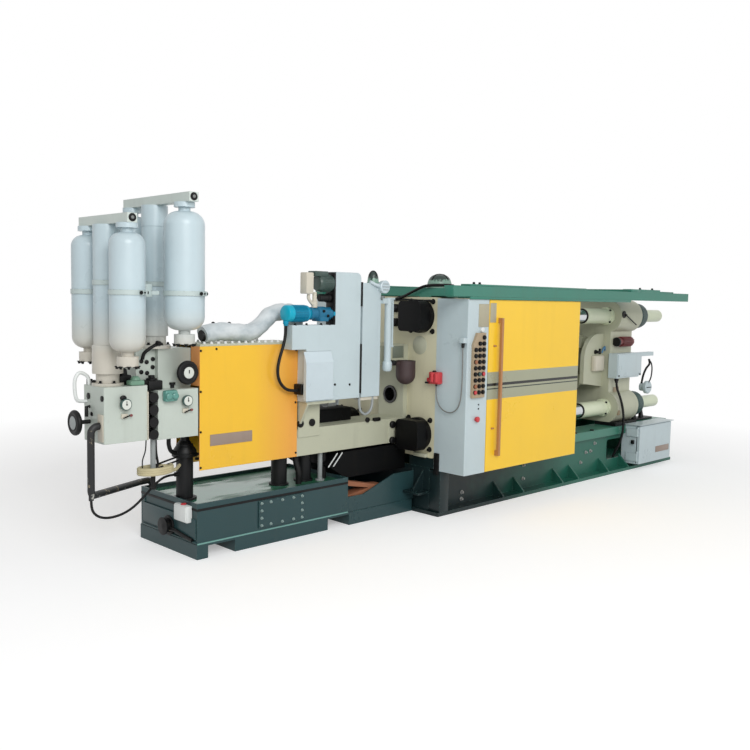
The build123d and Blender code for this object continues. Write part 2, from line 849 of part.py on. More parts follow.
# Shot cylinder behind the rear plate with its rod drawn back, and the shot sleeve through
# the frame's flange and the platen
lower_block_start = -2258
lower_block_end = -1966
shot_cylinder_diameter = 220
shot_rod_diameter = 80
shot_rod_end = -760
plunger_tip_length = 90
sleeve_outer = sleeve_bore - 2 * seat_gap
sleeve_wall = 18
sleeve_lip = 10
plunger_tip_diameter = sleeve_outer - 2 * sleeve_wall - 2 * seat_gap
with BuildPart() as shot_cylinder:
    bar_x(lower_block_end, rear_plate_start, shot_axis_y, shot_axis_z, shot_cylinder_diameter)
    bar_x(
        rear_plate_start, rear_plate_start + rear_plate_thickness, shot_axis_y, shot_axis_z,
        sleeve_outer,
    )
    bar_x(
        rear_plate_start + rear_plate_thickness, shot_rod_end, shot_axis_y, shot_axis_z,
        shot_rod_diameter,
    )
    bar_x(
        shot_rod_end, shot_rod_end + plunger_tip_length, shot_axis_y, shot_axis_z,
        plunger_tip_diameter,
    )
    with BuildSketch(Plane.YZ.offset(-beam_flange_thickness - sleeve_lip)):
        with Locations((shot_axis_y, shot_axis_z)):
            Circle(sleeve_outer / 2)
            Circle(sleeve_outer / 2 - sleeve_wall, mode=Mode.SUBTRACT)
    extrude(amount=beam_flange_thickness + sleeve_lip + platen_thickness)
shot_cylinder.part.label = "shot_cylinder"
export_step(shot_cylinder.part, "parts/shot_cylinder.step")

# Yellow covers on both sides of the shot frame, with a top plate between them
cover_start = -1957
cover_end = -1141
cover_bottom = 557
cover_top = 1368
cover_return = 96
cover_return_bottom = 1110
top_plate_height = 14
with BuildPart() as shot_covers:
    slab(cover_start, cover_end, shot_near - sheet, shot_near, cover_bottom, cover_top)
    slab(
        cover_start, cover_start + sheet, shot_near, shot_near + cover_return,
        cover_return_bottom, cover_top,
    )
    slab(cover_start, cover_end, shot_far, shot_far + sheet, cover_bottom, cover_top)
shot_covers.part.label = "shot_covers"
export_step(shot_covers.part, "parts/shot_covers.step")

with BuildPart() as cover_top_plate:
    slab(
        cover_start, cover_end, shot_near - sheet, shot_far + sheet,
        cover_top, cover_top + top_plate_height,
    )
    slab(
        rear_plate_start, rear_plate_start + rear_plate_thickness, shot_near, shot_far,
        upper_beam_top, cover_top,
    )
cover_top_plate.part.label = "cover_top_plate"
export_step(cover_top_plate.part, "parts/cover_top_plate.step")

# Hydraulic blocks at the shot end
end_block_start = -2618
end_block_end = -2328
end_block_bottom = 797
end_block_top = 1139
lower_block_bottom = 790
lower_block_top = 1100
block_near = -252
block_far = 10
block_edge = 8
upper_block_start = -2197
upper_block_end = cover_start
upper_block_near = -150
upper_block_far = 60
upper_block_top = 1355
manifold_start = -2330
with BuildPart() as hydraulic_blocks:
    slab(end_block_start, end_block_end, block_near, block_far, end_block_bottom, end_block_top)
    fillet(hydraulic_blocks.edges().filter_by(Axis.Z), block_edge)
    slab(
        lower_block_start, lower_block_end, block_near, block_far, lower_block_bottom, lower_block_top,
    )
    slab(
        end_block_end, lower_block_start, block_near + 5 * plate, block_far - plate,
        end_block_bottom + plate, lower_block_top - plate,
    )
    slab(
        upper_block_start, upper_block_end, upper_block_near, upper_block_far,
        lower_block_top, upper_block_top,
    )
    slab(
        manifold_start, upper_block_start, upper_block_near + 2 * plate, upper_block_far,
        end_block_top + seat_gap, upper_block_top,
    )
hydraulic_blocks.part.label = "hydraulic_blocks"
export_step(hydraulic_blocks.part, "parts/hydraulic_blocks.step")

fitting_count = 4
half_share = 0.5
fitting_diameter = 64
fitting_reach = 14
with BuildPart() as hose_fittings:
    fitting_pitch = (lower_block_top - lower_block_bottom) / fitting_count
    for index in range(fitting_count):
        bar_y(
            block_near - fitting_reach, block_near + 5 * plate,
            (end_block_end + lower_block_start) / 2,
            lower_block_bottom + (index + half_share) * fitting_pitch, fitting_diameter,
        )
hose_fittings.part.label = "hose_fittings"
export_step(hose_fittings.part, "parts/hose_fittings.step")

# Accumulator sets: a piston cylinder between two gas bottles, under one header bar
bottle_dome_share = 0.34
neck_diameter = 72
flange_diameter = 126
flange_height = 30
neck_length = 24
header_width = 64
header_height = 56
piston_diameter = 165
piston_neck_diameter = 140
piston_neck_length = 80


outer_set = {
    "x": -2525, "y": -120, "near": 245, "far": 235, "diameter": 208,
    "bottom": 1355, "header": 2108, "foot": end_block_top, "header_end": 63,
}
inner_set = {
    "x": -2180, "y": -85, "near": 345, "far": 275, "diameter": 245,
    "bottom": 1483, "header": 2252, "foot": upper_block_top, "header_end": 103,
}
accumulator_sets = [outer_set, inner_set]


def bottle_places(group):
    """Give the centres of one set's two gas bottles."""
    return [(group["x"], group["y"] - group["near"]), (group["x"], group["y"] + group["far"])]


with BuildPart() as gas_bottles:
    for group in accumulator_sets:
        radius = group["diameter"] / 2
        dome = bottle_dome_share * group["diameter"]
        bottom = group["bottom"]
        header = group["header"]
        top = header - flange_height - neck_length
        foot = bottom - neck_length - 2 * flange_height
        for x, y in bottle_places(group):
            with BuildSketch(Plane(origin=(x, y, 0), x_dir=(1, 0, 0), z_dir=(0, -1, 0))):
                with BuildLine():
                    lower = Polyline(
                        (0, foot), (flange_diameter / 2, foot),
                        (flange_diameter / 2, foot + 2 * flange_height),
                        (neck_diameter / 2, foot + 2 * flange_height), (neck_diameter / 2, bottom),
                    )
                    wall = Line((radius, bottom + dome), (radius, top - dome))
                    TangentArc(wall @ 0, lower @ 1, tangent=(0, -1))
                    upper = Polyline(
                        (neck_diameter / 2, top), (neck_diameter / 2, header - flange_height),
                        (flange_diameter / 2, header - flange_height),
                        (flange_diameter / 2, header), (0, header), (0, foot),
                    )
                    TangentArc(wall @ 1, upper @ 0, tangent=(0, 1))
                make_face()
            revolve(axis=Axis((x, y, 0), (0, 0, 1)))
gas_bottles.part.label = "gas_bottles"
export_step(gas_bottles.part, "parts/gas_bottles.step")

with BuildPart() as accumulator_pistons:
    for group in accumulator_sets:
        shoulder = group["foot"] + piston_neck_length
        bar_z(shoulder, group["header"], group["x"], group["y"], piston_diameter)
        bar_z(group["foot"], shoulder, group["x"], group["y"], piston_neck_diameter)
accumulator_pistons.part.label = "accumulator_pistons"
export_step(accumulator_pistons.part, "parts/accumulator_pistons.step")

with BuildPart() as accumulator_headers:
    for group in accumulator_sets:
        slab(
            group["x"] - header_width / 2, group["x"] + header_width / 2,
            group["y"] - group["near"] - group["header_end"],
            group["y"] + group["far"] + flange_diameter / 2,
            group["header"], group["header"] + header_height,
        )
accumulator_headers.part.label = "accumulator_headers"
export_step(accumulator_headers.part, "parts/accumulator_headers.step")

# Strap frame that ties both accumulator sets together
bottle_strap_level = 1691
piston_strap_level = 1747
strap_height = 30
strap_thickness = 5
with BuildPart() as strap_frame:
    for group in accumulator_sets:
        strap_radius = group["diameter"] / 2 + seat_gap
        with BuildSketch(Plane.XY.offset(bottle_strap_level)):
            with Locations(*bottle_places(group)):
                Circle(strap_radius + strap_thickness)
                Circle(strap_radius, mode=Mode.SUBTRACT)
        extrude(amount=strap_height)
        with BuildSketch(Plane.XY.offset(piston_strap_level)):
            with Locations((group["x"], group["y"])):
                Circle(piston_diameter / 2 + seat_gap + strap_thickness)
                Circle(piston_diameter / 2 + seat_gap, mode=Mode.SUBTRACT)
        extrude(amount=strap_height)
strap_frame.part.label = "strap_frame"
export_step(strap_frame.part, "parts/strap_frame.step")

# Support columns on the tank lid: a screw jack under the lower block and two posts
# under the shot frame
jack_diameter = 112
pipe_gland_diameter = 30
jack_gland_z = 512
jack_x = -1952
jack_y = -70
post_diameter = 115
post_places = [-1190, -960]
jack_screw_diameter = 60
jack_flange_diameter = 170
with BuildPart() as support_columns:
    bar_z(tank_lid_top, lower_block_bottom - 4 * plate, jack_x, jack_y, jack_diameter)
    bar_z(
        lower_block_bottom - 8 * plate, lower_block_bottom - 7 * plate, jack_x, jack_y,
        jack_flange_diameter,
    )
    bar_z(lower_block_bottom - 4 * plate, lower_block_bottom, jack_x, jack_y, jack_screw_diameter)
    bar_x(
        jack_x - jack_diameter / 2 - plate, jack_x, jack_y, jack_gland_z, pipe_gland_diameter,
    )
    for x in post_places:
        bar_z(tank_lid_top, frame_beam_bottom, x, shot_axis_y, post_diameter)
support_columns.part.label = "support_columns"
export_step(support_columns.part, "parts/support_columns.step")

# Ladle unit on the near side of the shot frame
ladle_near = 350
ladle_gap = 1
ladle_back = -shot_near + sheet + ladle_gap
ladle_bottom = 957
ladle_right = -620
ladle_step = -870
ladle_left = -1141
ladle_wing = -1270
wing_bottom = 1332
wing_top = 1503
tower_top = 1883
tower_round = 42
gland_size = 30
gland_level = 1040
with BuildPart() as ladle_body:
    with BuildSketch(Plane.XZ.offset(ladle_back)):
        with BuildLine():
            top = Polyline(
                (ladle_right, tower_top - tower_round), (ladle_right, ladle_bottom),
                (ladle_left, ladle_bottom), (ladle_left, wing_bottom),
                (ladle_wing, wing_bottom), (ladle_wing, wing_top),
                (ladle_step, wing_top), (ladle_step, tower_top),
                (ladle_right - tower_round, tower_top),
            )
            RadiusArc(top @ 1, top @ 0, tower_round)
        make_face()
    extrude(amount=ladle_near - ladle_back)
    slab(
        ladle_left + 2 * plate, ladle_right, -ladle_back, shot_near,
        upper_beam_bottom, upper_beam_top,
    )
    slab(
        ladle_left - gland_size, ladle_left, -ladle_near + plate, -ladle_back - plate,
        gland_level - gland_size, gland_level + gland_size,
    )
ladle_body.part.label = "ladle_body"
export_step(ladle_body.part, "parts/ladle_body.step")

cover_box_left = -1165
cover_box_right = -909
cover_box_depth = 30
cover_box_bottom = 969
cover_box_top = 1317
cover_box_slope = 77
with BuildPart() as ladle_drive_cover:
    with BuildSketch(Plane.YZ.offset(cover_box_left)):
        with BuildLine():
            Polyline(
                (-ladle_near, cover_box_bottom),
                (-ladle_near - cover_box_depth, cover_box_bottom),
                (-ladle_near - cover_box_depth, cover_box_top - cover_box_slope),
                (-ladle_near, cover_box_top),
                close=True,
            )
        make_face()
    extrude(amount=cover_box_right - cover_box_left)
ladle_drive_cover.part.label = "ladle_drive_cover"
export_step(ladle_drive_cover.part, "parts/ladle_drive_cover.step")

# Bracket under the ladle unit, bolted to the lower beam
bracket_left = -1130
bracket_right = -930
bracket_bottom = 690
shelf_right = -860
with BuildPart() as ladle_bracket:
    slab(bracket_left, bracket_right, -ladle_back, shot_near, bracket_bottom, ladle_bottom)
    slab(
        bracket_left, shelf_right, -ladle_near, -ladle_back,
        ladle_bottom - plate, ladle_bottom,
    )
    with BuildSketch(Plane.YZ.offset(bracket_left)):
        with BuildLine():
            Polyline(
                (-ladle_back, ladle_bottom - plate),
                (-ladle_near, ladle_bottom - plate),
                (-ladle_back, bracket_bottom + 4 * plate),
                close=True,
            )
        make_face()
    extrude(amount=plate)
ladle_bracket.part.label = "ladle_bracket"
export_step(ladle_bracket.part, "parts/ladle_bracket.step")

# Column beside the tower, with the tilt rod and its clevis
column_left = -600
column_right = -410
column_top = 1812
rod_x = -338
rod_y = -358
rod_diameter = 56
rod_bottom = 1144
rod_top = 1700
rod_arm_back = -300
disc_diameter = 95
disc_drop = 26
with BuildPart() as ladle_column:
    slab(column_left, column_right, -ladle_near, -ladle_back, ladle_bottom, column_top)
    slab(
        ladle_right + seat_gap, column_left, -ladle_back - plate, -ladle_back, ladle_bottom, column_top,
    )
    slab(column_left, column_right, -ladle_back, shot_near, upper_beam_bottom, upper_beam_top)
    bar_z(rod_bottom, rod_top, rod_x, rod_y, rod_diameter)
    slab(
        column_right, rod_x + rod_diameter / 2, rod_y - plate, rod_arm_back,
        rod_top - 2 * plate, rod_top,
    )
    bar_y(-ladle_near - plate, -ladle_near, column_right + plate / 2, column_top - disc_drop, disc_diameter)
ladle_column.part.label = "ladle_column"
export_step(ladle_column.part, "parts/ladle_column.step")

# Ladle cup, a cast pot that tilts on a pin from the rod's foot
cup_x = -130
cup_diameter = 154
cup_wall = 8
cup_top = 1217
cup_height = 188
cup_pin_z = 1195
cup_pin_diameter = 24
cup_radius = cup_diameter / 2
with BuildPart() as ladle_cup:
    with BuildSketch(Plane(origin=(cup_x, rod_y, 0), x_dir=(1, 0, 0), z_dir=(0, -1, 0))):
        with BuildLine():
            side = Line((cup_radius, cup_top), (cup_radius, cup_top - cup_height + cup_radius))
            outside = RadiusArc(side @ 1, (0, cup_top - cup_height), cup_radius)
            floor = Line(outside @ 1, (0, cup_top - cup_height + cup_wall))
            inside = RadiusArc(
                floor @ 1, (cup_radius - cup_wall, cup_top - cup_height + cup_radius),
                -cup_radius + cup_wall,
            )
            Polyline(inside @ 1, (cup_radius - cup_wall, cup_top), side @ 0)
        make_face()
    revolve(axis=Axis((cup_x, rod_y, 0), (0, 0, 1)))
    bar_x(
        rod_x + rod_diameter / 2 + seat_gap, cup_x - cup_radius + cup_wall / 2,
        rod_y, cup_pin_z, cup_pin_diameter,
    )
ladle_cup.part.label = "ladle_cup"
export_step(ladle_cup.part, "parts/ladle_cup.step")

# Gear motor, pump motor and terminal box on the tower's left face
motor_y = -300
gear_motor_z = 1585
gear_motor_diameter = 118
gear_motor_start = -1312
gear_motor_end = -1110
gearbox_diameter = 100
gear_flange_diameter = 150
gland_diameter = 36
cable_exit_x = -1288
pump_motor_z = 1800
pump_motor_diameter = 128
pump_motor_start = -1010
terminal_start = -1135
terminal_length = 92
terminal_half_height = 82
pump_z = 1695
pump_diameter = 58
with BuildPart() as ladle_motors:
    bar_x(gear_motor_start, gear_motor_end, motor_y, gear_motor_z, gear_motor_diameter)
    bar_x(gear_motor_end, ladle_step, motor_y, gear_motor_z, gearbox_diameter)
    bar_x(ladle_step - plate, ladle_step, motor_y, gear_motor_z, gear_flange_diameter)
    bar_z(
        gear_motor_z - gear_motor_diameter / 2 - plate, gear_motor_z, cable_exit_x, motor_y,
        gland_diameter,
    )
    bar_x(pump_motor_start, ladle_step, motor_y, pump_motor_z, pump_motor_diameter)
    slab(
        terminal_start, terminal_start + terminal_length, motor_y - 2 * plate, motor_y + 2 * plate,
        pump_motor_z - terminal_half_height, pump_motor_z + terminal_half_height,
    )
    bar_x(terminal_start + terminal_length, pump_motor_start, motor_y, pump_motor_z, pump_diameter)
    bar_x(pump_motor_start + 2 * plate, ladle_step, motor_y, pump_z, pump_diameter)
ladle_motors.part.label = "ladle_motors"
export_step(ladle_motors.part, "parts/ladle_motors.step")

# Handwheels on the hydraulic blocks: a rim, a hub and spokes on a short stem
wheel_rim = 32
wheel_outer = 155
hub_diameter = 84
hub_length = 30
stem_diameter = 26
spoke_count = 3


def handwheel(name, face, centre, turn):
    """Build one handwheel; face is the centre of its back, turn its outward plane."""
    plane = Plane(origin=centre, x_dir=turn[0], z_dir=turn[1])
    rim_radius = (wheel_outer - wheel_rim) / 2
    with BuildPart(plane) as wheel:
        Torus(rim_radius, wheel_rim / 2)
        Cylinder(hub_diameter / 2, hub_length)
        with PolarLocations(rim_radius / 2, spoke_count):
            Box(rim_radius, wheel_rim / 2, wheel_rim / 2)
        with Locations((0, 0, -face / 2)):
            Cylinder(stem_diameter / 2, face)
    wheel.part.label = name
    export_step(wheel.part, f"parts/{name}.step")


side_wheel_x = -2041
side_wheel_z = 1203
wheel_reach = 96
handwheel(
    "side_handwheel", wheel_reach - seat_gap,
    (side_wheel_x, upper_block_near - wheel_reach, side_wheel_z), ((1, 0, 0), (0, -1, 0)),
)
end_wheel_y = -70
end_wheel_z = 918
handwheel(
    "end_handwheel", wheel_reach - seat_gap,
    (end_block_start - wheel_reach, end_wheel_y, end_wheel_z), ((0, 1, 0), (-1, 0, 0)),
)

# Wrapped pipe along the top of the shot covers, turning down into the upper beam
wrapped_diameter = 108
wrapped_z = cover_top + top_plate_height + wrapped_diameter / 2 + seat_gap
wrapped_start = -1870
wrapped_rise_start = -1440
wrapped_rise_end = -1290
wrapped_drop = -1060
wrapped_high = 1585
with BuildPart() as wrapped_pipe:
    with BuildLine() as wrapped_route:
        FilletPolyline(
            (wrapped_start, shot_axis_y, wrapped_z),
            (wrapped_rise_start, shot_axis_y, wrapped_z),
            (wrapped_rise_end, shot_axis_y, wrapped_high),
            (wrapped_drop, shot_axis_y, wrapped_high),
            (wrapped_drop, shot_axis_y, upper_beam_top),
            radius=wrapped_diameter,
        )
    with BuildSketch(Plane(origin=wrapped_route.line @ 0, z_dir=wrapped_route.line % 0)):
        Circle(wrapped_diameter / 2)
    sweep()
wrapped_pipe.part.label = "wrapped_pipe"
export_step(wrapped_pipe.part, "parts/wrapped_pipe.step")

# Domed caps over the fixed platen and on the ladle column
platen_dome_x = 125
platen_dome_y = -465
platen_dome_diameter = 212
platen_dome_height = 108
column_dome_shift = 52
column_dome_diameter = 92
column_dome_height = 90
with BuildPart() as dome_caps:
    with Locations((platen_dome_x, platen_dome_y, front_beam_top)):
        Cone(
            platen_dome_diameter / 2, platen_dome_diameter / 4, platen_dome_height,
            align=(Align.CENTER, Align.CENTER, Align.MIN),
        )
    column_dome_x = (column_left + column_right) / 2 + column_dome_shift
    with Locations((column_dome_x, -(ladle_near + ladle_back) / 2, column_top)):
        Cone(
            column_dome_diameter / 2, column_dome_diameter / 4, column_dome_height,
            align=(Align.CENTER, Align.CENTER, Align.MIN),
        )
dome_caps.part.label = "dome_caps"
export_step(dome_caps.part, "parts/dome_caps.step")

# Safety valve between the fixed platen and the cabinet
valve_depth = 62
valve_near = -640
valve_far = -500
valve_bottom = 1045
valve_height = 95
with BuildPart() as safety_valve:
    slab(-valve_depth, 0, valve_near, valve_far, valve_bottom, valve_bottom + valve_height)
safety_valve.part.label = "safety_valve"
export_step(safety_valve.part, "parts/safety_valve.step")

# Return pipe from the end block to the oil tank
pipe_diameter = 44
pipe_y = -200
pipe_z = 905
pipe_reach = 60
pipe_foot_reach = 44
pipe_foot_y = -165
pipe_foot_z = 478
pipe_far_y = 300
pipe_far_z = 412
pipe_gland_bottom = 450
with BuildPart() as return_pipe:
    with BuildLine() as pipe_route:
        FilletPolyline(
            (end_block_start, pipe_y, pipe_z),
            (end_block_start - pipe_reach, pipe_y, pipe_z),
            (end_block_start - pipe_foot_reach, pipe_foot_y, pipe_foot_z),
            (skid_left - pipe_foot_reach, pipe_far_y - plate, pipe_far_z),
            (skid_left + pipe_reach, pipe_far_y, pipe_far_z),
            (skid_left + pipe_reach, pipe_far_y, tank_lid_top),
            radius=pipe_diameter,
        )
    with BuildSketch(Plane(origin=pipe_route.line @ 0, z_dir=pipe_route.line % 0)):
        Circle(pipe_diameter / 2)
    sweep()
    bar_z(
        pipe_gland_bottom, pipe_foot_z, end_block_start - pipe_foot_reach, pipe_foot_y,
        pipe_gland_diameter,
    )
return_pipe.part.label = "return_pipe"
export_step(return_pipe.part, "parts/return_pipe.step")


bend_share = 0.45


def cord(name, points, diameter):
    """Build a free cord as straight runs joined by tangent arcs, and print its radii."""
    places = [Vector(*point) for point in points]
    radii = []
    for before, here, after in zip(places, places[1:], places[2:]):
        turn = (here - before).get_angle(after - here)
        shorter = min((here - before).length, (after - here).length)
        radii.append(bend_share * shorter / tan(radians(turn / 2)))
    with BuildPart() as tube:
        with BuildLine() as route:
            FilletPolyline(*points, radius=radii)
        with BuildSketch(Plane(origin=route.line @ 0, z_dir=route.line % 0)):
            Circle(diameter / 2)
        sweep()
    length = sum(edge.length for edge in route.edges())
    volume_share = tube.part.volume / (length * pi * diameter ** 2 / 4)
    print(
        name, "length", round(length), "radii in diameters",
        [round(radius / diameter, 1) for radius in radii], "volume share", round(volume_share, 4),
    )
    tube.part.label = name
    export_step(tube.part, f"parts/{name}.step")


motor_cable_diameter = 22
motor_cable_points = [
    (-1288, -300, 1506), (-1288, -300, 1440), (-1310, -303, 1358), (-1344, -305, 1275),
    (-1362, -305, 1198), (-1352, -304, 1128), (-1310, -302, 1072), (-1248, -300, 1040),
    (-1171, -300, 1040),
]
cord("motor_cable", motor_cable_points, motor_cable_diameter)

junction_cable_diameter = 24
junction_cable_points = [
    (2798, -532, 940), (2798, -532, 855), (2814, -572, 755), (2835, -598, 640),
    (2852, -602, 520), (2864, -594, 405), (2870, -568, 300), (2872, -525, 205),
    (2872, -480, 118), (2872, -480, 30),
]
cord("junction_cable", junction_cable_points, junction_cable_diameter)

hanging_cable_diameter = 16
hanging_cable_points = [
    (-2662, -165, 450), (-2662, -165, 404), (-2640, -162, 362), (-2592, -155, 330),
    (-2520, -147, 318), (-2430, -136, 328), (-2350, -125, 360), (-2280, -115, 410),
    (-2215, -103, 458), (-2150, -88, 496), (-2088, -70, 512), (-2028, -70, 512),
]
cord("hanging_cable", hanging_cable_points, hanging_cable_diameter)

valve_conduit_diameter = 10
valve_conduit_points = [
    (-25, -590, 1045), (-25, -590, 980), (-25, -600, 920), (-25, -632, 868),
    (-25, -690, 836), (-25, -756, 836), (-25, -810, 872), (-25, -836, 935),
    (-24, -844, 1020), (-23, -846, 1110), (-22, -845, 1200), (-21, -842, 1290),
    (-21, -842, 1376),
]
cord("valve_conduit", valve_conduit_points, valve_conduit_diameter)
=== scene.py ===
import bpy
import bmesh
import math
from mathutils import Matrix, Vector, noise as lumps


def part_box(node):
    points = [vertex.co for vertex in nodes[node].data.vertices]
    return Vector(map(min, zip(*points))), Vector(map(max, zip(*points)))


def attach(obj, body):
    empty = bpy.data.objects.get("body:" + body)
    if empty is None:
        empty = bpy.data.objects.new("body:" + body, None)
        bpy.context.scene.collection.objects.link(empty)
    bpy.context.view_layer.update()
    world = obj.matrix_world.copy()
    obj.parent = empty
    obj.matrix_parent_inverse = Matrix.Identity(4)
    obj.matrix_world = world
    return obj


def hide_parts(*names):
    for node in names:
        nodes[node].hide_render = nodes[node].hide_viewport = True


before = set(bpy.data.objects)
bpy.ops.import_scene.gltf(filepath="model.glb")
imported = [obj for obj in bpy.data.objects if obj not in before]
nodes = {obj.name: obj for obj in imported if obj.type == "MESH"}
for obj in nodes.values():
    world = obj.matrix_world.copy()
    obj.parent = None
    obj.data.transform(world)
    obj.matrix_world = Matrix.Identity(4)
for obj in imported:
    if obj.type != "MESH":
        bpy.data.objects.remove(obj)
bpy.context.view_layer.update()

# Camera: a standing person's eye height, off the shot end's near corner, looking along
# the machine and a little down.
eye = Vector((-5.05, -4.99, 1.7))
heading = math.radians(45.304 - 90)
pitch = math.radians(90 - 5.09)
roll = math.radians(1.118)
view = bpy.data.cameras.new("view")
view.sensor_width = 36
view.lens = 41.39
view.clip_end = 200
camera = bpy.data.objects.new("camera", view)
bpy.context.scene.collection.objects.link(camera)
camera.matrix_world = (
    Matrix.Translation(eye) @ Matrix.Rotation(heading, 4, "Z")
    @ Matrix.Rotation(pitch, 4, "X") @ Matrix.Rotation(roll, 4, "Z")
)
bpy.context.scene.camera = camera


def node(tree, kind, **values):
    """Add a shader node, and set its inputs by name or number and its own settings."""
    made = tree.nodes.new(kind)
    for key, value in values.items():
        if key.startswith("in_"):
            name = key[3:].replace("_", " ")
            name = int(name) if name.isdigit() else name
            socket = made.inputs[name]
            if isinstance(value, bpy.types.NodeSocket):
                tree.links.new(value, socket)
            else:
                socket.default_value = value
        else:
            setattr(made, key, value)
    return made


def linear(red, green, blue):
    """Turn a screen colour from 0 to 255 into the shader's linear colour."""
    parts = []
    for value in (red, green, blue):
        value = value / 255
        parts.append(value / 12.92 if value <= .04045 else ((value + .055) / 1.055) ** 2.4)
    return (*parts, 1.0)


def mixed(tree, share, first, second, mode="MIX"):
    """Mix two colours by a share and give the result's socket. Three numbers are a screen
    colour from 0 to 255."""
    made = node(tree, "ShaderNodeMix", data_type="RGBA", blend_type=mode)
    for socket, value in zip((made.inputs[i] for i in (0, 6, 7)), (share, first, second)):
        if isinstance(value, bpy.types.NodeSocket):
            tree.links.new(value, socket)
        else:
            socket.default_value = linear(*value) if isinstance(value, tuple) else value
    return made.outputs[2]


def ranged(tree, value, low, high, to_low=0, to_high=1.0):
    """Map a value's range onto another range, and give the result's socket."""
    made = node(tree, "ShaderNodeMapRange", in_Value=value)
    made.inputs["From Min"].default_value = low
    made.inputs["From Max"].default_value = high
    made.inputs["To Min"].default_value = to_low
    made.inputs["To Max"].default_value = to_high
    return made.outputs[0]


def noise(tree, where, scale, detail=4.0, rough=.55, stretch=None):
    """Add a noise pattern on object coordinates, stretched if asked, and give its socket."""
    if stretch:
        where = node(tree, "ShaderNodeMapping", in_Vector=where, in_Scale=stretch).outputs[0]
    return node(
        tree, "ShaderNodeTexNoise", in_Vector=where, in_Scale=scale, in_Detail=detail,
        in_Roughness=rough,
    ).outputs[0]


def maths(tree, what, first, second):
    return node(tree, "ShaderNodeMath", operation=what, in_0=first, in_1=second).outputs[0]


def principled(name):
    """Start a material, and give it with its tree, its surface's inputs and its coordinates."""
    made = bpy.data.materials.new(name)
    made.use_nodes = True
    tree = made.node_tree
    where = node(tree, "ShaderNodeTexCoord").outputs["Object"]
    return made, tree, tree.nodes["Principled BSDF"].inputs, where


def rubber(name, colour, rough=.55, dusty=(120, 118, 110)):
    """Rubber or flexible plastic with a dusty, finely grained skin."""
    made, tree, skin, where = principled(name)
    skin["Specular IOR Level"].default_value = .25
    dust = noise(tree, where, 14, 6, .65)
    share = ranged(tree, dust, .45, .8, 0, .35)
    tree.links.new(mixed(tree, share, colour, dusty), skin["Base Color"])
    tree.links.new(ranged(tree, dust, .3, .8, rough - .1, rough + .2), skin["Roughness"])
    grain = noise(tree, where, 420, 2)
    bump = node(tree, "ShaderNodeBump", in_Height=grain, in_Strength=.25, in_Distance=.0006)
    tree.links.new(bump.outputs[0], skin["Normal"])
    return made


cable_black = rubber("cable_black", (9, 9, 10), .5, (48, 48, 46))
conduit_grey = rubber("conduit_grey", (120, 122, 120), .4, (170, 170, 165))
cables = {
    "motor_cable": (.022, .602, cable_black, [
        (-1.288, -.3, 1.506), (-1.288, -.3, 1.44), (-1.31, -.303, 1.358),
        (-1.344, -.305, 1.275), (-1.362, -.305, 1.198), (-1.352, -.304, 1.128),
        (-1.31, -.302, 1.072), (-1.248, -.3, 1.04), (-1.171, -.3, 1.04),
    ]),
    "junction_cable": (.024, .946, cable_black, [
        (2.798, -.532, .94), (2.798, -.532, .855), (2.814, -.572, .755), (2.835, -.598, .64),
        (2.852, -.602, .52), (2.864, -.594, .405), (2.87, -.568, .3), (2.872, -.525, .205),
        (2.872, -.48, .118), (2.872, -.48, .03),
    ]),
    "hanging_cable": (.016, .77, cable_black, [
        (-2.662, -.165, .45), (-2.662, -.165, .404), (-2.64, -.162, .362),
        (-2.592, -.155, .33), (-2.52, -.147, .318), (-2.43, -.136, .328),
        (-2.35, -.125, .36), (-2.28, -.115, .41), (-2.215, -.103, .458),
        (-2.15, -.088, .496), (-2.088, -.07, .512), (-2.028, -.07, .512),
    ]),
    "valve_conduit": (.01, .886, conduit_grey, [
        (-.025, -.59, 1.045), (-.025, -.59, .98), (-.025, -.6, .92), (-.025, -.632, .868),
        (-.025, -.69, .836), (-.025, -.756, .836), (-.025, -.81, .872), (-.025, -.836, .935),
        (-.024, -.844, 1.02), (-.023, -.846, 1.11), (-.022, -.845, 1.2),
        (-.021, -.842, 1.29), (-.021, -.842, 1.376),
    ]),
}
for name, (diameter, length, skin, points) in cables.items():
    line = bpy.data.curves.new(name + "_line", "CURVE")
    line.dimensions = "3D"
    line.bevel_depth = diameter / 2
    line.bevel_resolution = 5
    line.resolution_u = 10
    line.use_fill_caps = True
    spline = line.splines.new("NURBS")
    spline.points.add(len(points) - 1)
    for place, point in zip(spline.points, points):
        place.co = (*point, 1)
    spline.order_u = 3
    spline.use_endpoint_u = True
    cable = bpy.data.objects.new(name + "_lead", line)
    bpy.context.scene.collection.objects.link(cable)
    line.materials.append(skin)
    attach(cable, "machine")
    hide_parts(name)

# Clamp base: a welded steel frame, brushed with green enamel. Its foot plate, gussets and
# side openings show along the near side, and the slideways run along its top. A bracket
# with two slanted ribs stands on its front, and hexagon bolts hold its cross members.


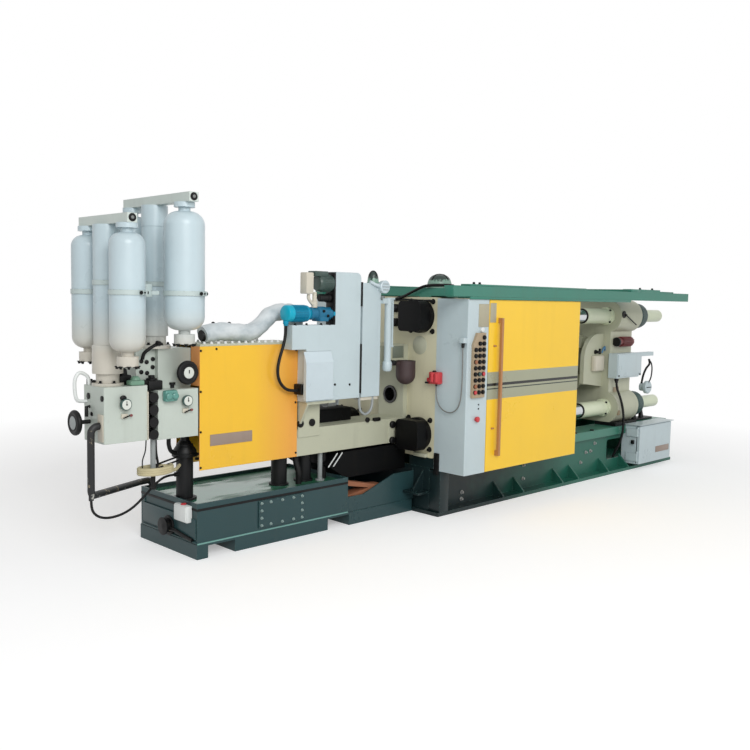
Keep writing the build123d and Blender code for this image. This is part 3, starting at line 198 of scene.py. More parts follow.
def enamel(name, colour, rough=.36, grime=.5, wear=.5, under=(96, 94, 90), soft=.004,
           shift=.06, band=None, shine=.5):
    """Machine enamel on steel: slow changes of tone, runs of grime, worn edges and fine
    orange peel. band, if given, changes the colour before the grime goes on."""
    made, tree, skin, where = principled(name)
    skin["Specular IOR Level"].default_value = shine
    slow = noise(tree, where, 1.9, 5, .6)
    tone = ranged(tree, slow, .3, .7, 1.0 - shift, 1.0 + shift * .6)
    base = band(tree, where, colour) if band else colour
    grey = node(tree, "ShaderNodeCombineColor", in_0=tone, in_1=tone, in_2=tone).outputs[0]
    base = mixed(tree, 1.0, base, grey, "MULTIPLY")
    runs = noise(tree, where, 1.0, 5, .62, (11, 11, .7))
    spots = noise(tree, where, 31, 4, .6)
    dirt = maths(
        tree, "ADD", ranged(tree, runs, .55, .86, 0, .42 * grime),
        ranged(tree, spots, .62, .8, 0, .3 * grime),
    )
    base = mixed(tree, dirt, base, (92, 84, 70))
    round_edge = node(tree, "ShaderNodeBevel", samples=4, in_Radius=soft).outputs[0]
    flat = node(tree, "ShaderNodeNewGeometry").outputs["Normal"]
    same = node(
        tree, "ShaderNodeVectorMath", operation="DOT_PRODUCT", in_0=round_edge, in_1=flat,
    ).outputs[1]
    chips = ranged(tree, noise(tree, where, 47, 5, .7), .5, .62)
    chips = maths(tree, "MULTIPLY", chips, wear)
    worn = maths(tree, "MULTIPLY", ranged(tree, same, .985, .86), chips)
    tree.links.new(mixed(tree, worn, base, under), skin["Base Color"])
    matt = ranged(tree, slow, .3, .7, rough - .05, rough + .07)
    matt = maths(tree, "ADD", matt, maths(tree, "MULTIPLY", dirt, .5))
    tree.links.new(matt, skin["Roughness"])
    bump = node(
        tree, "ShaderNodeBump", in_Height=noise(tree, where, 260, 2), in_Strength=.04,
        in_Distance=.002, in_Normal=round_edge,
    )
    tree.links.new(bump.outputs[0], skin["Normal"])
    return made


def coat(material, *names):
    """Give CAD nodes a finish by their material slots."""
    for name in names:
        for place in nodes[name].material_slots:
            place.material = material


MM = .001


def span(name):
    """Give a CAD node's low and high corners in millimetres."""
    return [Vector(corner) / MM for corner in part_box(name)]


def block(form, one, other, soft=3):
    """Add a block between two corners, its edges rounded off."""
    low, high = [[pick(pair) for pair in zip(one, other)] for pick in (min, max)]
    corners = [
        form.verts.new((x, y, z))
        for x in (low[0], high[0]) for y in (low[1], high[1]) for z in (low[2], high[2])
    ]
    rings = ((0, 1, 3, 2), (4, 6, 7, 5), (0, 4, 5, 1), (2, 3, 7, 6), (0, 2, 6, 4), (1, 5, 7, 3))
    faces = [form.faces.new([corners[i] for i in ring]) for ring in rings]
    edges = list({edge for face in faces for edge in face.edges})
    soft = min(soft, min(b - a for a, b in zip(low, high)) * .3)
    bmesh.ops.bevel(form, geom=edges, offset=soft, segments=2, affect="EDGES", profile=.5)


def prism(form, outline, push):
    """Add a flat plate of any outline, pushed out to its thickness."""
    near = [form.verts.new(point) for point in outline]
    far = [form.verts.new(Vector(point) + Vector(push)) for point in outline]
    form.faces.new(near)
    form.faces.new(far[::-1])
    for i in range(len(near)):
        form.faces.new((near[i - 1], far[i - 1], far[i], near[i]))


def turned(form, start, along, profile, sides=32):
    """Add a turned solid: rings at (distance along, radius) round an axis from start."""
    start, along = Vector(start), Vector(along).normalized()
    across = along.orthogonal().normalized()
    up = along.cross(across)
    rings = []
    for place, radius in [(profile[0][0], 0), *profile, (profile[-1][0], 0)]:
        centre = start + along * place
        turns = [math.tau * i / sides for i in range(sides)] if radius else [0]
        rings.append([
            form.verts.new(centre + radius * (math.cos(t) * across + math.sin(t) * up)) for t in turns
        ])
    for ring, after in zip(rings, rings[1:]):
        for i in range(sides):
            corners = [ring[i % len(ring)], ring[(i + 1) % sides % len(ring)]]
            corners += [after[(i + 1) % sides % len(after)], after[i % len(after)]]
            corners = list(dict.fromkeys(corners))
            if len(corners) > 2:
                form.faces.new(corners)


def knob(radius, height, *crown):
    """Give a straight wall's profile, and the (distance, radius) rings of its crown."""
    return [(0, radius), (height, radius), *crown]


def smoothed(points, steps=6):
    """Run a smooth curve through points, and give its points."""
    points = [Vector(point) for point in points]
    ends = [points[0] * 2 - points[1], *points, points[-1] * 2 - points[-2]]
    curve = []
    for a, b, c, d in zip(ends, ends[1:], ends[2:], ends[3:]):
        for i in range(steps):
            t = i / steps
            curve.append(
                .5 * (2 * b + (c - a) * t + (2 * a - 5 * b + 4 * c - d) * t ** 2
                       + (3 * b - a - 3 * c + d) * t ** 3)
            )
    return [*curve, points[-1]]


def pipe(form, points, radius, sides=14, lumpy=0):
    """Add a pipe with closed ends along points, its skin lumpy if asked."""
    points = [Vector(point) for point in points]
    across = (points[1] - points[0]).orthogonal().normalized()
    rings = []
    for i, point in enumerate(points):
        along = (points[min(i + 1, len(points) - 1)] - points[max(i - 1, 0)]).normalized()
        across = (across - along * across.dot(along)).normalized()
        up = along.cross(across)
        ring = []
        for turn in [math.tau * j / sides for j in range(sides)]:
            out = math.cos(turn) * across + math.sin(turn) * up
            grown = radius
            if lumpy:
                skin = (point + out * radius) * MM
                grown += lumpy * (lumps.noise(skin * 15) + .3 * lumps.noise(skin * 38))
            ring.append(form.verts.new(point + out * grown))
        rings.append(ring)
    for ring, after in zip(rings, rings[1:]):
        for i in range(sides):
            form.faces.new((ring[i - 1], ring[i], after[i], after[i - 1]))
    form.faces.new(rings[0][::-1])
    form.faces.new(rings[-1])


def hose(form, points, radius, sides=14):
    """Add a pipe along a smooth curve through points."""
    pipe(form, smoothed(points), radius, sides)


def riding(name, mesh, body):
    """Put a mesh in the scene as a piece that rides on a body."""
    piece = bpy.data.objects.new(name, mesh)
    bpy.context.scene.collection.objects.link(piece)
    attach(piece, body)
    return piece


def finished(name, form, material, body="machine", slot=None, instead=()):
    """Make a piece of a form in millimetres, its faces outward and its curves smooth."""
    bmesh.ops.recalc_face_normals(form, faces=form.faces)
    mesh = bpy.data.meshes.new(name)
    form.to_mesh(mesh)
    form.free()
    mesh.transform(Matrix.Scale(MM, 4))
    for face in mesh.polygons:
        face.use_smooth = True
    mesh.set_sharp_from_angle(angle=math.radians(34))
    mesh.materials.append(material)
    made = riding(name, mesh, body)
    if instead:
        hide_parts(*instead)


def piece(name, material, *shapes, **rest):
    """Finish a piece built from shapes, each a maker and what it takes after the form."""
    form = bmesh.new()
    for make, *given in shapes:
        make(form, *given)
    finished(name, form, material, **rest)


left, right, near_way, far_way, top_way = (-1, 0, 0), (1, 0, 0), (0, -1, 0), (0, 1, 0), (0, 0, 1)


def point_tree(name, sizes, shape, along_x=False):
    """Geometry Nodes that set a shape on each point, its height along "facing" and, if
    asked, its length along X."""
    tree = bpy.data.node_groups.new(name, "GeometryNodeTree")
    face = tree.interface
    face.new_socket("Geometry", in_out="INPUT", socket_type="NodeSocketGeometry")
    for label in sizes:
        face.new_socket(label, in_out="INPUT", socket_type="NodeSocketFloat")
    face.new_socket("Finish", in_out="INPUT", socket_type="NodeSocketMaterial")
    face.new_socket("Geometry", in_out="OUTPUT", socket_type="NodeSocketGeometry")
    given = tree.nodes.new("NodeGroupInput").outputs
    facing = node(tree, "GeometryNodeInputNamedAttribute", data_type="FLOAT_VECTOR", in_Name="facing")
    align = "FunctionNodeAlignRotationToVector"
    turn = node(tree, align, axis="Z", in_Vector=facing.outputs[0]).outputs[0]
    if along_x:
        turn = node(tree, align, axis="X", pivot_axis="Z", in_Rotation=turn, in_Vector=right).outputs[0]
    spread = node(
        tree, "GeometryNodeInstanceOnPoints", in_Points=given["Geometry"],
        in_Instance=shape(tree, given), in_Rotation=turn,
    ).outputs[0]
    real = node(tree, "GeometryNodeRealizeInstances", in_Geometry=spread).outputs[0]
    done = node(tree, "GeometryNodeSetMaterial", in_Geometry=real, in_Material=given["Finish"])
    tree.links.new(done.outputs[0], tree.nodes.new("NodeGroupOutput").inputs[0])
    return tree


def bolt(tree, given):
    """A hexagon head with a washer under it."""
    head = node(
        tree, "GeometryNodeMeshCone", in_Vertices=6, in_Radius_Bottom=given["Head"],
        in_Radius_Top=maths(tree, "MULTIPLY", given["Head"], .8), in_Depth=given["Height"],
    ).outputs["Mesh"]
    washer = node(
        tree, "GeometryNodeMeshCylinder", in_Vertices=16, in_Radius=given["Washer"],
        in_Depth=maths(tree, "MULTIPLY", given["Height"], .3),
    ).outputs["Mesh"]
    joined = node(tree, "GeometryNodeJoinGeometry")
    for part in (head, washer):
        tree.links.new(part, joined.inputs[0])
    return joined.outputs[0]


hexagon_bolts = point_tree("hexagon_bolts", ("Head", "Height", "Washer"), bolt)


def repeated(name, tree, places, sizes, material):
    """Run a Geometry Nodes tree on (point, facing) places and keep the result as a mesh."""
    seeds = bpy.data.meshes.new(name + "_places")
    seeds.from_pydata([Vector(place) * MM for place, facing in places], [], [])
    way = seeds.attributes.new("facing", "FLOAT_VECTOR", "POINT")
    for item, (place, facing) in zip(way.data, places):
        item.vector = Vector(facing).normalized()
    holder = bpy.data.objects.new(name + "_holder", seeds)
    bpy.context.scene.collection.objects.link(holder)
    modifier = holder.modifiers.new("set_out", "NODES")
    modifier.node_group = tree
    inputs = {label: size * MM for label, size in sizes.items()}
    inputs["Finish"] = material
    for item in tree.interface.items_tree:
        if item.in_out == "INPUT" and item.name in inputs:
            modifier[item.identifier] = inputs[item.name]
    bpy.context.view_layer.update()
    ready = holder.evaluated_get(bpy.context.evaluated_depsgraph_get())
    mesh = bpy.data.meshes.new_from_object(ready)
    holder.modifiers.remove(modifier)
    bpy.data.objects.remove(holder)
    riding(name, mesh, "machine")


def bolts(name, places, material, head=12):
    """Set hexagon bolts at (point, facing) places."""
    sizes = {"Head": head, "Height": head * 1.5, "Washer": head * 1.35}
    repeated(name, hexagon_bolts, places, sizes, material)


# Pale teal for the chipped edges of the green enamels: partly worn paint, partly a painted highlight on
# the edges.
green_edge_wear_and_highlight = (120, 168, 158)


def painted_shade_front(tree, where, colour):
    """Darken the enamel towards the platen, by X with a noisy edge: painted shade where the
    base lies under the guard doors and cabinets.
    """
    along = node(tree, "ShaderNodeSeparateXYZ", in_Vector=where).outputs["X"]
    shade_reach = maths(tree, "ADD", along, ranged(tree, noise(tree, where, 2.4, 4), .3, .7, -.35, .35))
    return mixed(tree, ranged(tree, shade_reach, .7, 2.0), (20, 36, 38), colour)


base_green = enamel(
    "base_green", (38, 100, 84), rough=.34, grime=.25, wear=.8, under=green_edge_wear_and_highlight, band=painted_shade_front,
    shine=.35,
)
coat(base_green, "base_frame")
slide_steel = enamel(
    "slideway_green", (58, 122, 104), rough=.3, grime=.4, wear=.8, under=green_edge_wear_and_highlight, band=painted_shade_front,
)
coat(slide_steel, "base_slideways")
bolt_black = enamel("bolt_black", (9, 9, 10), rough=.45, grime=.1, wear=.3, shine=.2)
bolt_steel = enamel("bolt_steel", (150, 152, 150), rough=.32, grime=.5, wear=.6)
base_front = span("base_slideways")[0].x
piece(
    "base_front_bracket", base_green,
    (block, (base_front - 125, -520, 165), (base_front, -290, 183), 4),
    *[(block, (0, side * 518, 18), (105, side * 634, 356), 3) for side in (-1, 1)],
    *[(prism,
       [(base_front, rib_y, 183), (base_front - 110, rib_y, 183), (base_front - 110, rib_y, 205),
        (base_front, rib_y, 345)], (0, -14, 0)) for rib_y in (-330, -440)],
    slot="base_green",
)
web = span("base_frame")[0].y + 115
places = [
    ((x, side * -web, z), (0, side, 0)) for side in (-1, 1)
    for x, z in (
        (405, 118), (401, 62), (2291, 239), (2374, 243), (2448, 313), (2200, 150), (1260, 118),
        (1260, 240), (3720, 118), (3720, 240),
    )
]
bolts("base_bolts", places, bolt_steel, 13)
form = bmesh.new()
for side in (-1, 1):
    for x in (550, 750, 2050, 2350):
        turned(form, (x, side * 545, 450), top_way, knob(20, 10, (13, 16)), 20)
    block(form, (1535, side * 430 - 125, 452), (1556, side * 430 + 125, 478), 4)
finished("slideway_wipers", form, cable_black)

# Injection skid and oil tank: folded and welded steel plate in dark green-grey enamel. The
# tank's lid is coated with oil and shines, and its glossy patches are painted a lighter green,
# a painted reflection. A bolted plate closes the tank's side, and its end carries a panel, a
# white switch box with a red button and the black suction port.
slate = enamel(
    "tank_slate", (40, 68, 71), rough=.3, grime=.25, shine=.35, wear=.8, under=green_edge_wear_and_highlight,
)
coat(slate, "injection_skid", "oil_tank", "tank_cover_plates", "bridge_sides")


def oily_green_with_painted_sheen(name):
    """Green enamel under a film of oil: a mirror where the film lies, dull where it has run off.
    The glossy patches are also painted a lighter green: a painted reflection.
    """
    made, tree, skin, where = principled(name)
    film = noise(tree, where, 1.6, 3, .5, (1.0, 2.2, 1.0))
    along = node(tree, "ShaderNodeSeparateXYZ", in_Vector=where).outputs["X"]
    film = maths(tree, "ADD", film, ranged(tree, along, -2.0, -.9, .1, -.1))
    oily_and_sheen = ranged(tree, film, .48, .56)
    # Lighter green in the glossy patches: a painted reflection; the low roughness set below gives the
    # real gloss.
    tint = mixed(tree, oily_and_sheen, (34, 92, 66), (70, 128, 106))
    streaks = ranged(tree, noise(tree, where, 5, 4, .6, (.5, 3.0, 1.0)), .55, .8, 0, .5)
    tree.links.new(mixed(tree, streaks, tint, (28, 66, 56)), skin["Base Color"])
    tree.links.new(ranged(tree, oily_and_sheen, 0, 1, .42, .05), skin["Roughness"])
    skin["IOR"].default_value = 1.6
    ripple = noise(tree, where, 9, 3, .5)
    bump = node(tree, "ShaderNodeBump", in_Height=ripple, in_Strength=.1, in_Distance=.01)
    tree.links.new(bump.outputs[0], skin["Normal"])
    return made


coat(oily_green_with_painted_sheen("lid_oily_green_painted_sheen"), "tank_lid")
tank_low, tank_high = span("oil_tank")
skid_top = span("injection_skid")[1].z
lid_foot = span("tank_lid")[0].z
# A black strip under the lid's rim, along both sides and the end: painted shade of the gap under the
# lid.
form = bmesh.new()
for side in (-1, 1):
    edge = side * tank_high.y
    block(form, (tank_low.x, edge, lid_foot - 16), (tank_high.x, edge + side * 3, lid_foot), 1)
block(form, (tank_low.x - 3, tank_low.y, lid_foot - 16), (tank_low.x, tank_high.y, lid_foot), 1)
finished("tank_lid_shade_strip", form, cable_black)
# A pale fillet along the tank's foot on the skid: painted highlight of the skid's top edge.
highlight_pale = enamel("highlight_pale_green", (112, 160, 152), rough=.35, grime=.2, wear=.3)
form = bmesh.new()
for side in (-1, 1):
    edge = side * tank_high.y
    prism(
        form,
        [(tank_low.x, edge, skid_top), (tank_low.x, edge + side * 6, skid_top),
         (tank_low.x, edge, skid_top + 9)],
        (tank_high.x - tank_low.x, 0, 0),
    )
finished("tank_foot_highlight", form, highlight_pale, slot="tank_green")
plate_low, plate_high = span("tank_cover_plates")
rows = [plate_low.z + 18 + 51 * i for i in range(4)]
places = []
for side, face in ((-1, plate_low.y), (1, plate_high.y)):
    for x in (plate_low.x + 22, plate_high.x - 22):
        places += [((x, face, z), (0, side, 0)) for z in rows]
    for share in (.25, .5, .75):
        x = plate_low.x + share * (plate_high.x - plate_low.x)
        places += [((x, face, z), (0, side, 0)) for z in (rows[0], rows[-1])]
cover_bolt = enamel("cover_bolt_grey", (138, 160, 156), rough=.3, grime=.3, wear=.3)
bolts("tank_cover_bolts", places, cover_bolt, 8)
piece(
    "tank_end_panel", slate, (block, (tank_low.x - 6, -338, 128), (tank_low.x, 322, 262), 3),
    (block, (tank_low.x - 10, -345, 104), (tank_low.x, 330, 114), 3),
)
fitting_low = span("tank_end_fittings")[0]
switch_white = enamel("switch_white", (226, 230, 228), rough=.3, grime=.3, wear=.2)
piece(
    "tank_switch_box", switch_white,
    (block, (fitting_low.x + 20, -290, 232), (tank_low.x + 4, -140, 342), 6),
    (block, (fitting_low.x + 14, -284, 238), (fitting_low.x + 22, -146, 336), 3),
    instead=("tank_end_fittings",),
)
signal_red = enamel("signal_red", (196, 56, 62), rough=.25, grime=.15, wear=.1)
piece(
    "tank_switch_button", signal_red,
    (turned, (-2056, -222, 340), top_way, knob(12, 4, (4, 19), (10, 18), (12, 14)), 20),
)
port = Vector((tank_low.x, -20, 164.5))
plastic_black = rubber("plastic_black", (10, 10, 11), .45, (46, 48, 48))
piece(
    "tank_suction_port", plastic_black,
    (turned, port, left,
     knob(67, 12, (16, 62), (16, 46), (44, 46), (48, 58), (56, 60), (58, 52), (58, 20), (60, 16))),
    (hose, [port + Vector((-30, -20, -10)), (-2052, -110, 148), (-2050, -200, 134), (-2044, -310, 120)],
     13),
)
timber_brown = enamel("timber_brown", (156, 100, 70), rough=.7, grime=.9, wear=.3, shift=.25)
piece(
    "bridge_timbers", timber_brown,
    (prism, [(-700, -318, 292), (-700, -318, 328), (-400, -318, 262), (-400, -318, 232)], (0, 100, 0)),
    (prism, [(-700, -318, 178), (-700, -318, 216), (-380, -318, 258), (-380, -318, 226)], (0, 100, 0)),
    (prism, [(-480, -322, 226), (-480, -322, 268), (-300, -322, 250), (-300, -322, 222)], (0, 120, 0)),
    slot="handle_brown",
)

# Hose cover and posts: a matt black cover over the hoses between base and tank, and the
# jack and posts that carry the shot end, black cast iron with flanges and short pipes.
hose_black = enamel("cover_matt_black", (7, 8, 9), rough=.6, grime=.1, wear=.1, shine=.12)
coat(hose_black, "hose_cover")
cast_black = enamel(
    "cast_black", (14, 15, 17), rough=.45, grime=.2, wear=.5, shine=.25,
)
coat(cast_black, "support_columns")
pipe_grey = enamel("pipe_grey", (150, 156, 156), rough=.35, grime=.5, wear=.5)
# Two thin white rods along the hose cover's slanted end: painted highlights on the cover's edges.
highlight_white = enamel("highlight_white", (214, 218, 216), rough=.3, grime=.3, wear=.2)
piece(
    "hose_cover_highlight_rods", highlight_white,
    *[(pipe, [(-842 + shift_x, -262, 440), (-752 + shift_x, -262, 537)], 4.5) for shift_x in (0, 50)],
)
jack = Vector((-1952, -70, 0))
piece(
    "jack_fittings", cast_black, (turned, jack + Vector((0, 0, 339)), top_way, knob(80, 14, (18, 58))),
    (turned, jack + Vector((0, 0, 648)), top_way, knob(78, 20, (60, 52), (85, 34))),
    (turned, jack + Vector((0, 0, 772)), top_way, [(0, 40), (4, 58), (18, 62)]),
    *[(turned, (x, -115, 339), top_way, knob(72, 12, (14, 60))) for x in (-1190, -960)],
    (hose, [(-2090, -100, 790), (-2090, -100, 720), (-2060, -90, 670), (-1990, -80, 655)], 14),
    (turned, (-2090, -100, 772), top_way, knob(26, 18), 20),
    *[(pipe, [(-1900, -115, z), (-1780, -150, z)], 9) for z in (640, 610)],
)
piece(
    "tank_riser_pipe", pipe_grey, (pipe, [(-870, -200, 339), (-870, -200, 556)], 18),
    (turned, (-870, -200, 339), top_way, knob(34, 10), 20),
)
piece(
    "tank_riser_hoses", cable_black, (pipe, [(-800, -160, 339), (-800, -160, 556)], 22),
    (hose, [(-1075, -200, 339), (-1075, -200, 420), (-1085, -180, 500), (-1085, -170, 556)], 22),
)

# Platens, toggle and crosshead: iron castings, filled and sprayed in a warm grey-green
# machine enamel. The fixed platen's face has a round plug, a foot ledge and black studs.


def casting(name, colour):
    return enamel(name, colour, rough=.42, grime=.45, wear=.3, under=(222, 222, 210))


cast_grey = casting("casting_grey", (184, 186, 164))
coat(
    cast_grey, "moving_platen", "rear_platen", "toggle_links", "crosshead", "toggle_castings",
    "closing_cylinder", "shot_frame",
)
# The fixed platen gets a lighter, warmer copy of the casting enamel: painted light that lifts its end
# face out of shade, and a painted warm tint of that shade.
coat(casting("platen_lightened_warm", (212, 208, 178)), "fixed_platen")
sheet_white = enamel(
    "sheet_blue_white", (190, 205, 209), rough=.3, grime=.25, wear=.25, under=(235, 238, 238),
)
platen_face = span("fixed_platen")[0].x
piece(
    "platen_plug", cast_grey, (turned, (platen_face, -385, 1337), left, knob(74, 2, (4, 71)), 48),
    (block, (-30, -500, 452), (platen_face, -365, 482), 4),
)
piece(
    "platen_studs", bolt_black,
    *[(turned, (platen_face, -125, z), left, knob(34, 35, (44, 26)), 24) for z in (1623, 1509)],
    *[(turned, (-166, -256, z), near_way, knob(28, 18, (24, 20)), 24) for z in (703, 576)],
)
# A dark grey plate on the shot frame's upper beam, by the flange: painted shade.
piece(
    "flange_shade_plate", enamel("plate_painted_shade_grey", (112, 120, 108), rough=.5),
    (block, (-170, -256, 1232), (-52, -250, 1326), 2), slot="dark_cast",
)
piece("beam_end_plate", cast_grey, (block, (-205, -256, 556), (-128, -250, 735), 2))
link_steel = enamel("link_steel", (120, 124, 122), rough=.35, grime=.6, wear=.7)
piece(
    "rear_platen_sight_hole", plastic_black,
    (turned, (2831, -565, 1585), near_way, knob(36, 6, (8, 30)), 32),
    (pipe, [(2850, -580, 1580), (3060, -580, 1480)], 6),
    (turned, (2850, -588, 1580), far_way, knob(10, 20), 16),
)
piece(
    "rear_platen_plate", enamel("plate_ochre", (150, 134, 108), rough=.45),
    (block, (2880, -455, 752), (2990, -450, 838), 2), (block, (2795, -572, 566), (2835, -548, 616), 3),
    slot="handle_brown",
)
form = bmesh.new()
for side in (-1, 1):
    for x in (3345, 3500):
        prism(
            form,
            [(x, side * 440, 452), (x + 75, side * 440, 452), (x + 30, side * 440, 560),
             (x + 10, side * 440, 560)],
            (0, side * -30, 0),
        )
    block(form, (3215, side * 360, 452), (3700, side * 470, 472), 3)
finished("gear_feet", form, cast_black)
coat(cast_black, "slide_shoes")

# Tie bars: four hard-chromed steel bars. Black nuts with corner studs hold them at the fixed
# platen, pale sleeves with a black seal stand before the rear platen, and dark green gear
# rings with pale caps close them behind it.
chrome = enamel("bar_chrome", (206, 210, 212), rough=.14, grime=.15, wear=0)
chrome.node_tree.nodes["Principled BSDF"].inputs["Metallic"].default_value = 1.0
coat(chrome, "tie_bars")


def bore_shade_black(tree, where, colour):
    """Blacken the shot sleeve and rod near the platen, by X: painted shade of the dark opening
    under the ladle and of the bore.
    """
    along = node(tree, "ShaderNodeSeparateXYZ", in_Vector=where).outputs["X"]
    return mixed(tree, ranged(tree, along, -.3, -.2), colour, (16, 16, 17))


coat(
    enamel("rod_steel", (150, 154, 156), rough=.25, grime=.3, wear=0, band=bore_shade_black),
    "shot_cylinder",
)
nut_black = enamel("nut_black", (7, 7, 8), rough=.5, grime=.08, wear=.2, shine=.15)
coat(nut_black, "tie_bar_nuts")
gear_green = enamel("gear_green", (46, 78, 74), rough=.32, grime=.4, wear=.5)
coat(gear_green, "gear_rings")
coat(
    enamel("sleeve_pale", (218, 226, 198), rough=.32, grime=.35, wear=.3, under=(236, 238, 230)),
    "tie_bar_covers",
)
bar_y, bar_z = 400, 1100
bar_places = [(side * bar_y, bar_z + level * 466) for side in (-1, 1) for level in (-1, 1)]
corners = [(across, up) for across in (-1, 1) for up in (-1, 1)]
places = [
    ((platen_face, y + across * 116, z + up * 116), left) for y, z in bar_places
    for across, up in corners
]
bolts("nut_studs", places, bolt_black, 16)
places = []
for y, z in bar_places:
    places += [((2748, y + across * 58, z + up * 58), left) for across, up in corners]
    places += [((3402, y + across * 72, z + up * 72), right) for across, up in corners]
bolts("sleeve_bolts", places, bolt_black, 8)
piece(
    "sleeve_seals", cable_black,
    *[(turned, (2312, y, z), right, [(0, 70), (3, 74), (12, 74)], 40) for y, z in bar_places],
)


def bar(tree, given):
    """A plain bar: a gear tooth or a cooling fin."""
    labels = zip(("in_X", "in_Y", "in_Z"), ("Length", "Thickness", "Height"))
    size = node(tree, "ShaderNodeCombineXYZ", **{axis: given[label] for axis, label in labels})
    return node(tree, "GeometryNodeMeshCube", in_Size=size.outputs[0]).outputs["Mesh"]


bar_sizes = ("Length", "Thickness", "Height")
bars_on_points = point_tree("bars_on_points", bar_sizes, bar, along_x=True)


def bars(name, places, sizes, material):
    """Set bars of (length, thickness, height) at (point, facing) places."""
    repeated(name, bars_on_points, places, dict(zip(bar_sizes, sizes)), material)


def ring_of(count, centre, radius):
    """Give points round an axis along X, each with its outward way."""
    places = []
    for i in range(count):
        out = Vector((0, math.cos(math.tau * i / count), math.sin(math.tau * i / count)))
        places.append((Vector(centre) + radius * out, out))
    return places


places = [spot for y, z in bar_places for spot in ring_of(48, (3345, y, z), 125)]
bars("gear_teeth", places, (85, 8, 10), gear_green)

# Toggle side and height motor: the near toggle casting carries a beige switch box, a knob
# and a blue curved pipe, and a small dark red motor turns the gear rings.
motor_red = enamel("motor_red", (128, 58, 58), rough=.35, grime=.4, wear=.4)
coat(motor_red, "height_motor")
motor_low, motor_high = span("height_motor")
motor_z = (motor_low.z + motor_high.z) / 2
piece(
    "height_motor_flange", cast_black,
    (turned, (motor_low.x - 12, motor_low.y + 38, motor_z), right, knob(46, 16, (20, 42), (30, 42))),
)
fins = ring_of(26, (3020, motor_low.y + 43, motor_z), 46)
bars("height_motor_fins", fins, (200, 4, 12), motor_red)
beige = enamel("switch_beige", (206, 200, 184), rough=.4, grime=.3, wear=.2)
piece(
    "toggle_switch_box", beige, (block, (2574, -412, 1010), (2752, -370, 1167), 8),
    (block, (2583, -418, 1020), (2742, -410, 1157), 3),
)
piece(
    "toggle_knobs", plastic_black,
    (turned, (2640, -370, 1203), near_way, knob(22, 10, (12, 15), (40, 15), (46, 10)), 24),
    (block, (2705, -388, 1180), (2722, -370, 1235), 3),
    (block, (2757, -386, 1045), (2781, -370, 1135), 3),
)
piece(
    "toggle_blue_pipe", enamel("pipe_blue", (70, 120, 160)),
    (hose, [(2745, -385, 1190), (2755, -392, 1232), (2780, -395, 1252), (2786, -392, 1215)], 8),
    slot="motor_blue",
)

# Junction box and electrical box: folded sheet-steel cabinets in pale enamel, with a bare
# plate and a black catch on the door. A black lead hangs from the junction box's end.
coat(sheet_white, "junction_box", "electrical_box", "electrical_box_door")
box_low, box_high = span("junction_box")
piece(
    "junction_box_cover", sheet_white,
    (block, (box_low.x + 12, box_low.y - 6, box_low.z + 12), (3250, box_low.y, box_high.z - 12), 3),
)
piece(
    "junction_box_fittings", plastic_black,
    *[(turned, (x, box_low.y - 6, z), near_way, knob(10, 4, (6, 6)), 16)
      for x, z in ((2800, 965), (3225, 965))],
    (turned, (2798, -532, 936), (0, 0, -1), knob(22, 22, (24, 16), (40, 16)), 20),
    (hose,
     [(3475, -520, 1110), (3490, -520, 1060), (3440, -510, 1010), (3425, -490, 940), (3430, -470, 850)],
     11),
    (hose,
     [(3495, -510, 1105), (3560, -505, 1060), (3590, -500, 990), (3580, -495, 900), (3540, -480, 830)],
     7),
)
piece(
    "gear_encoder_disc", sheet_white,
    (turned, (3560, -450, 800), near_way, [(0, 68), (30, 70), (40, 60)], 40),
    (turned, (3560, -395, 800), near_way, knob(45, 60), 32),
)
piece("gear_encoder_slot", plastic_black, (block, (3512, -494, 796), (3608, -488, 804), 2))
door_low, door_high = span("electrical_box_door")
plate_grey = enamel(
    "bare_plate_brown", (150, 132, 120), rough=.35, grime=.4, wear=.3,
)
piece(
    "electrical_door_plate", plate_grey,
    (block, (3330, door_low.y - 3, 150), (3620, door_low.y, 212), 1), body="box_door",
)
case_low = span("electrical_box")[0]
piece(
    "electrical_box_catch", plastic_black,
    (block, (case_low.x - 12, door_high.y + 10, 270), (case_low.x, door_high.y + 45, 310), 4),
)

# Side cabinets and button panel: pale sheet steel either side of the fixed platen. The near
# one carries a tan panel of push buttons, a white lamp and a red stop button below.
coat(sheet_white, "side_cabinets")
panel_low, panel_high = span("button_panel")
panel_top = 1453
panel_foot = 957
panel_face = panel_low.y + 10
cabinet_face = panel_high.y
panel_tan = enamel("panel_tan", (170, 150, 122), rough=.4, grime=.5, wear=.3)
notice_beige = enamel("notice_beige", (172, 166, 142), rough=.4, grime=.5, wear=.1)
piece(
    "button_panel_plate", panel_tan,
    (prism,
     [(panel_low.x, cabinet_face, panel_foot), (panel_high.x, cabinet_face, panel_foot),
      (panel_high.x, cabinet_face, panel_top), (panel_low.x + 45, cabinet_face, panel_top),
      (panel_low.x, cabinet_face, panel_top - 90)], (0, panel_face - cabinet_face, 0)),
    slot="panel_tan", instead=("button_panel",),
)
button_colours = {
    "k": bolt_black, "r": signal_red, "o": timber_brown, "w": switch_white, "g": gear_green,
}
button_rows = ("  k", " kk", "kkk", "kkk", "okk", "kkk", "kgr", "kkk", "okk", "rkk")
row_pitch = 46.5
buttons = {key: bmesh.new() for key in button_colours}
collars = bmesh.new()
for row, letters in enumerate(button_rows):
    for column, letter in enumerate(letters):
        if letter == " ":
            continue
        place = (71 + 48 * column, panel_face, panel_top - 35 - row_pitch * row)
        turned(collars, place, near_way, knob(17.5, 4, (5, 15)), 20)
        turned(buttons[letter], place, near_way, knob(12, 6, (7, 15.5), (13, 15.5), (16, 11)), 20)
turned(buttons["w"], (160, cabinet_face, 1476), near_way, knob(20, 16, (20, 14)), 24)
for z in (900, 868):
    turned(buttons["k"], (150, cabinet_face, z), near_way, knob(6, 4), 12)
turned(buttons["r"], (120, cabinet_face, 790), near_way, knob(15, 12, (14, 22), (26, 22), (30, 16)), 24)
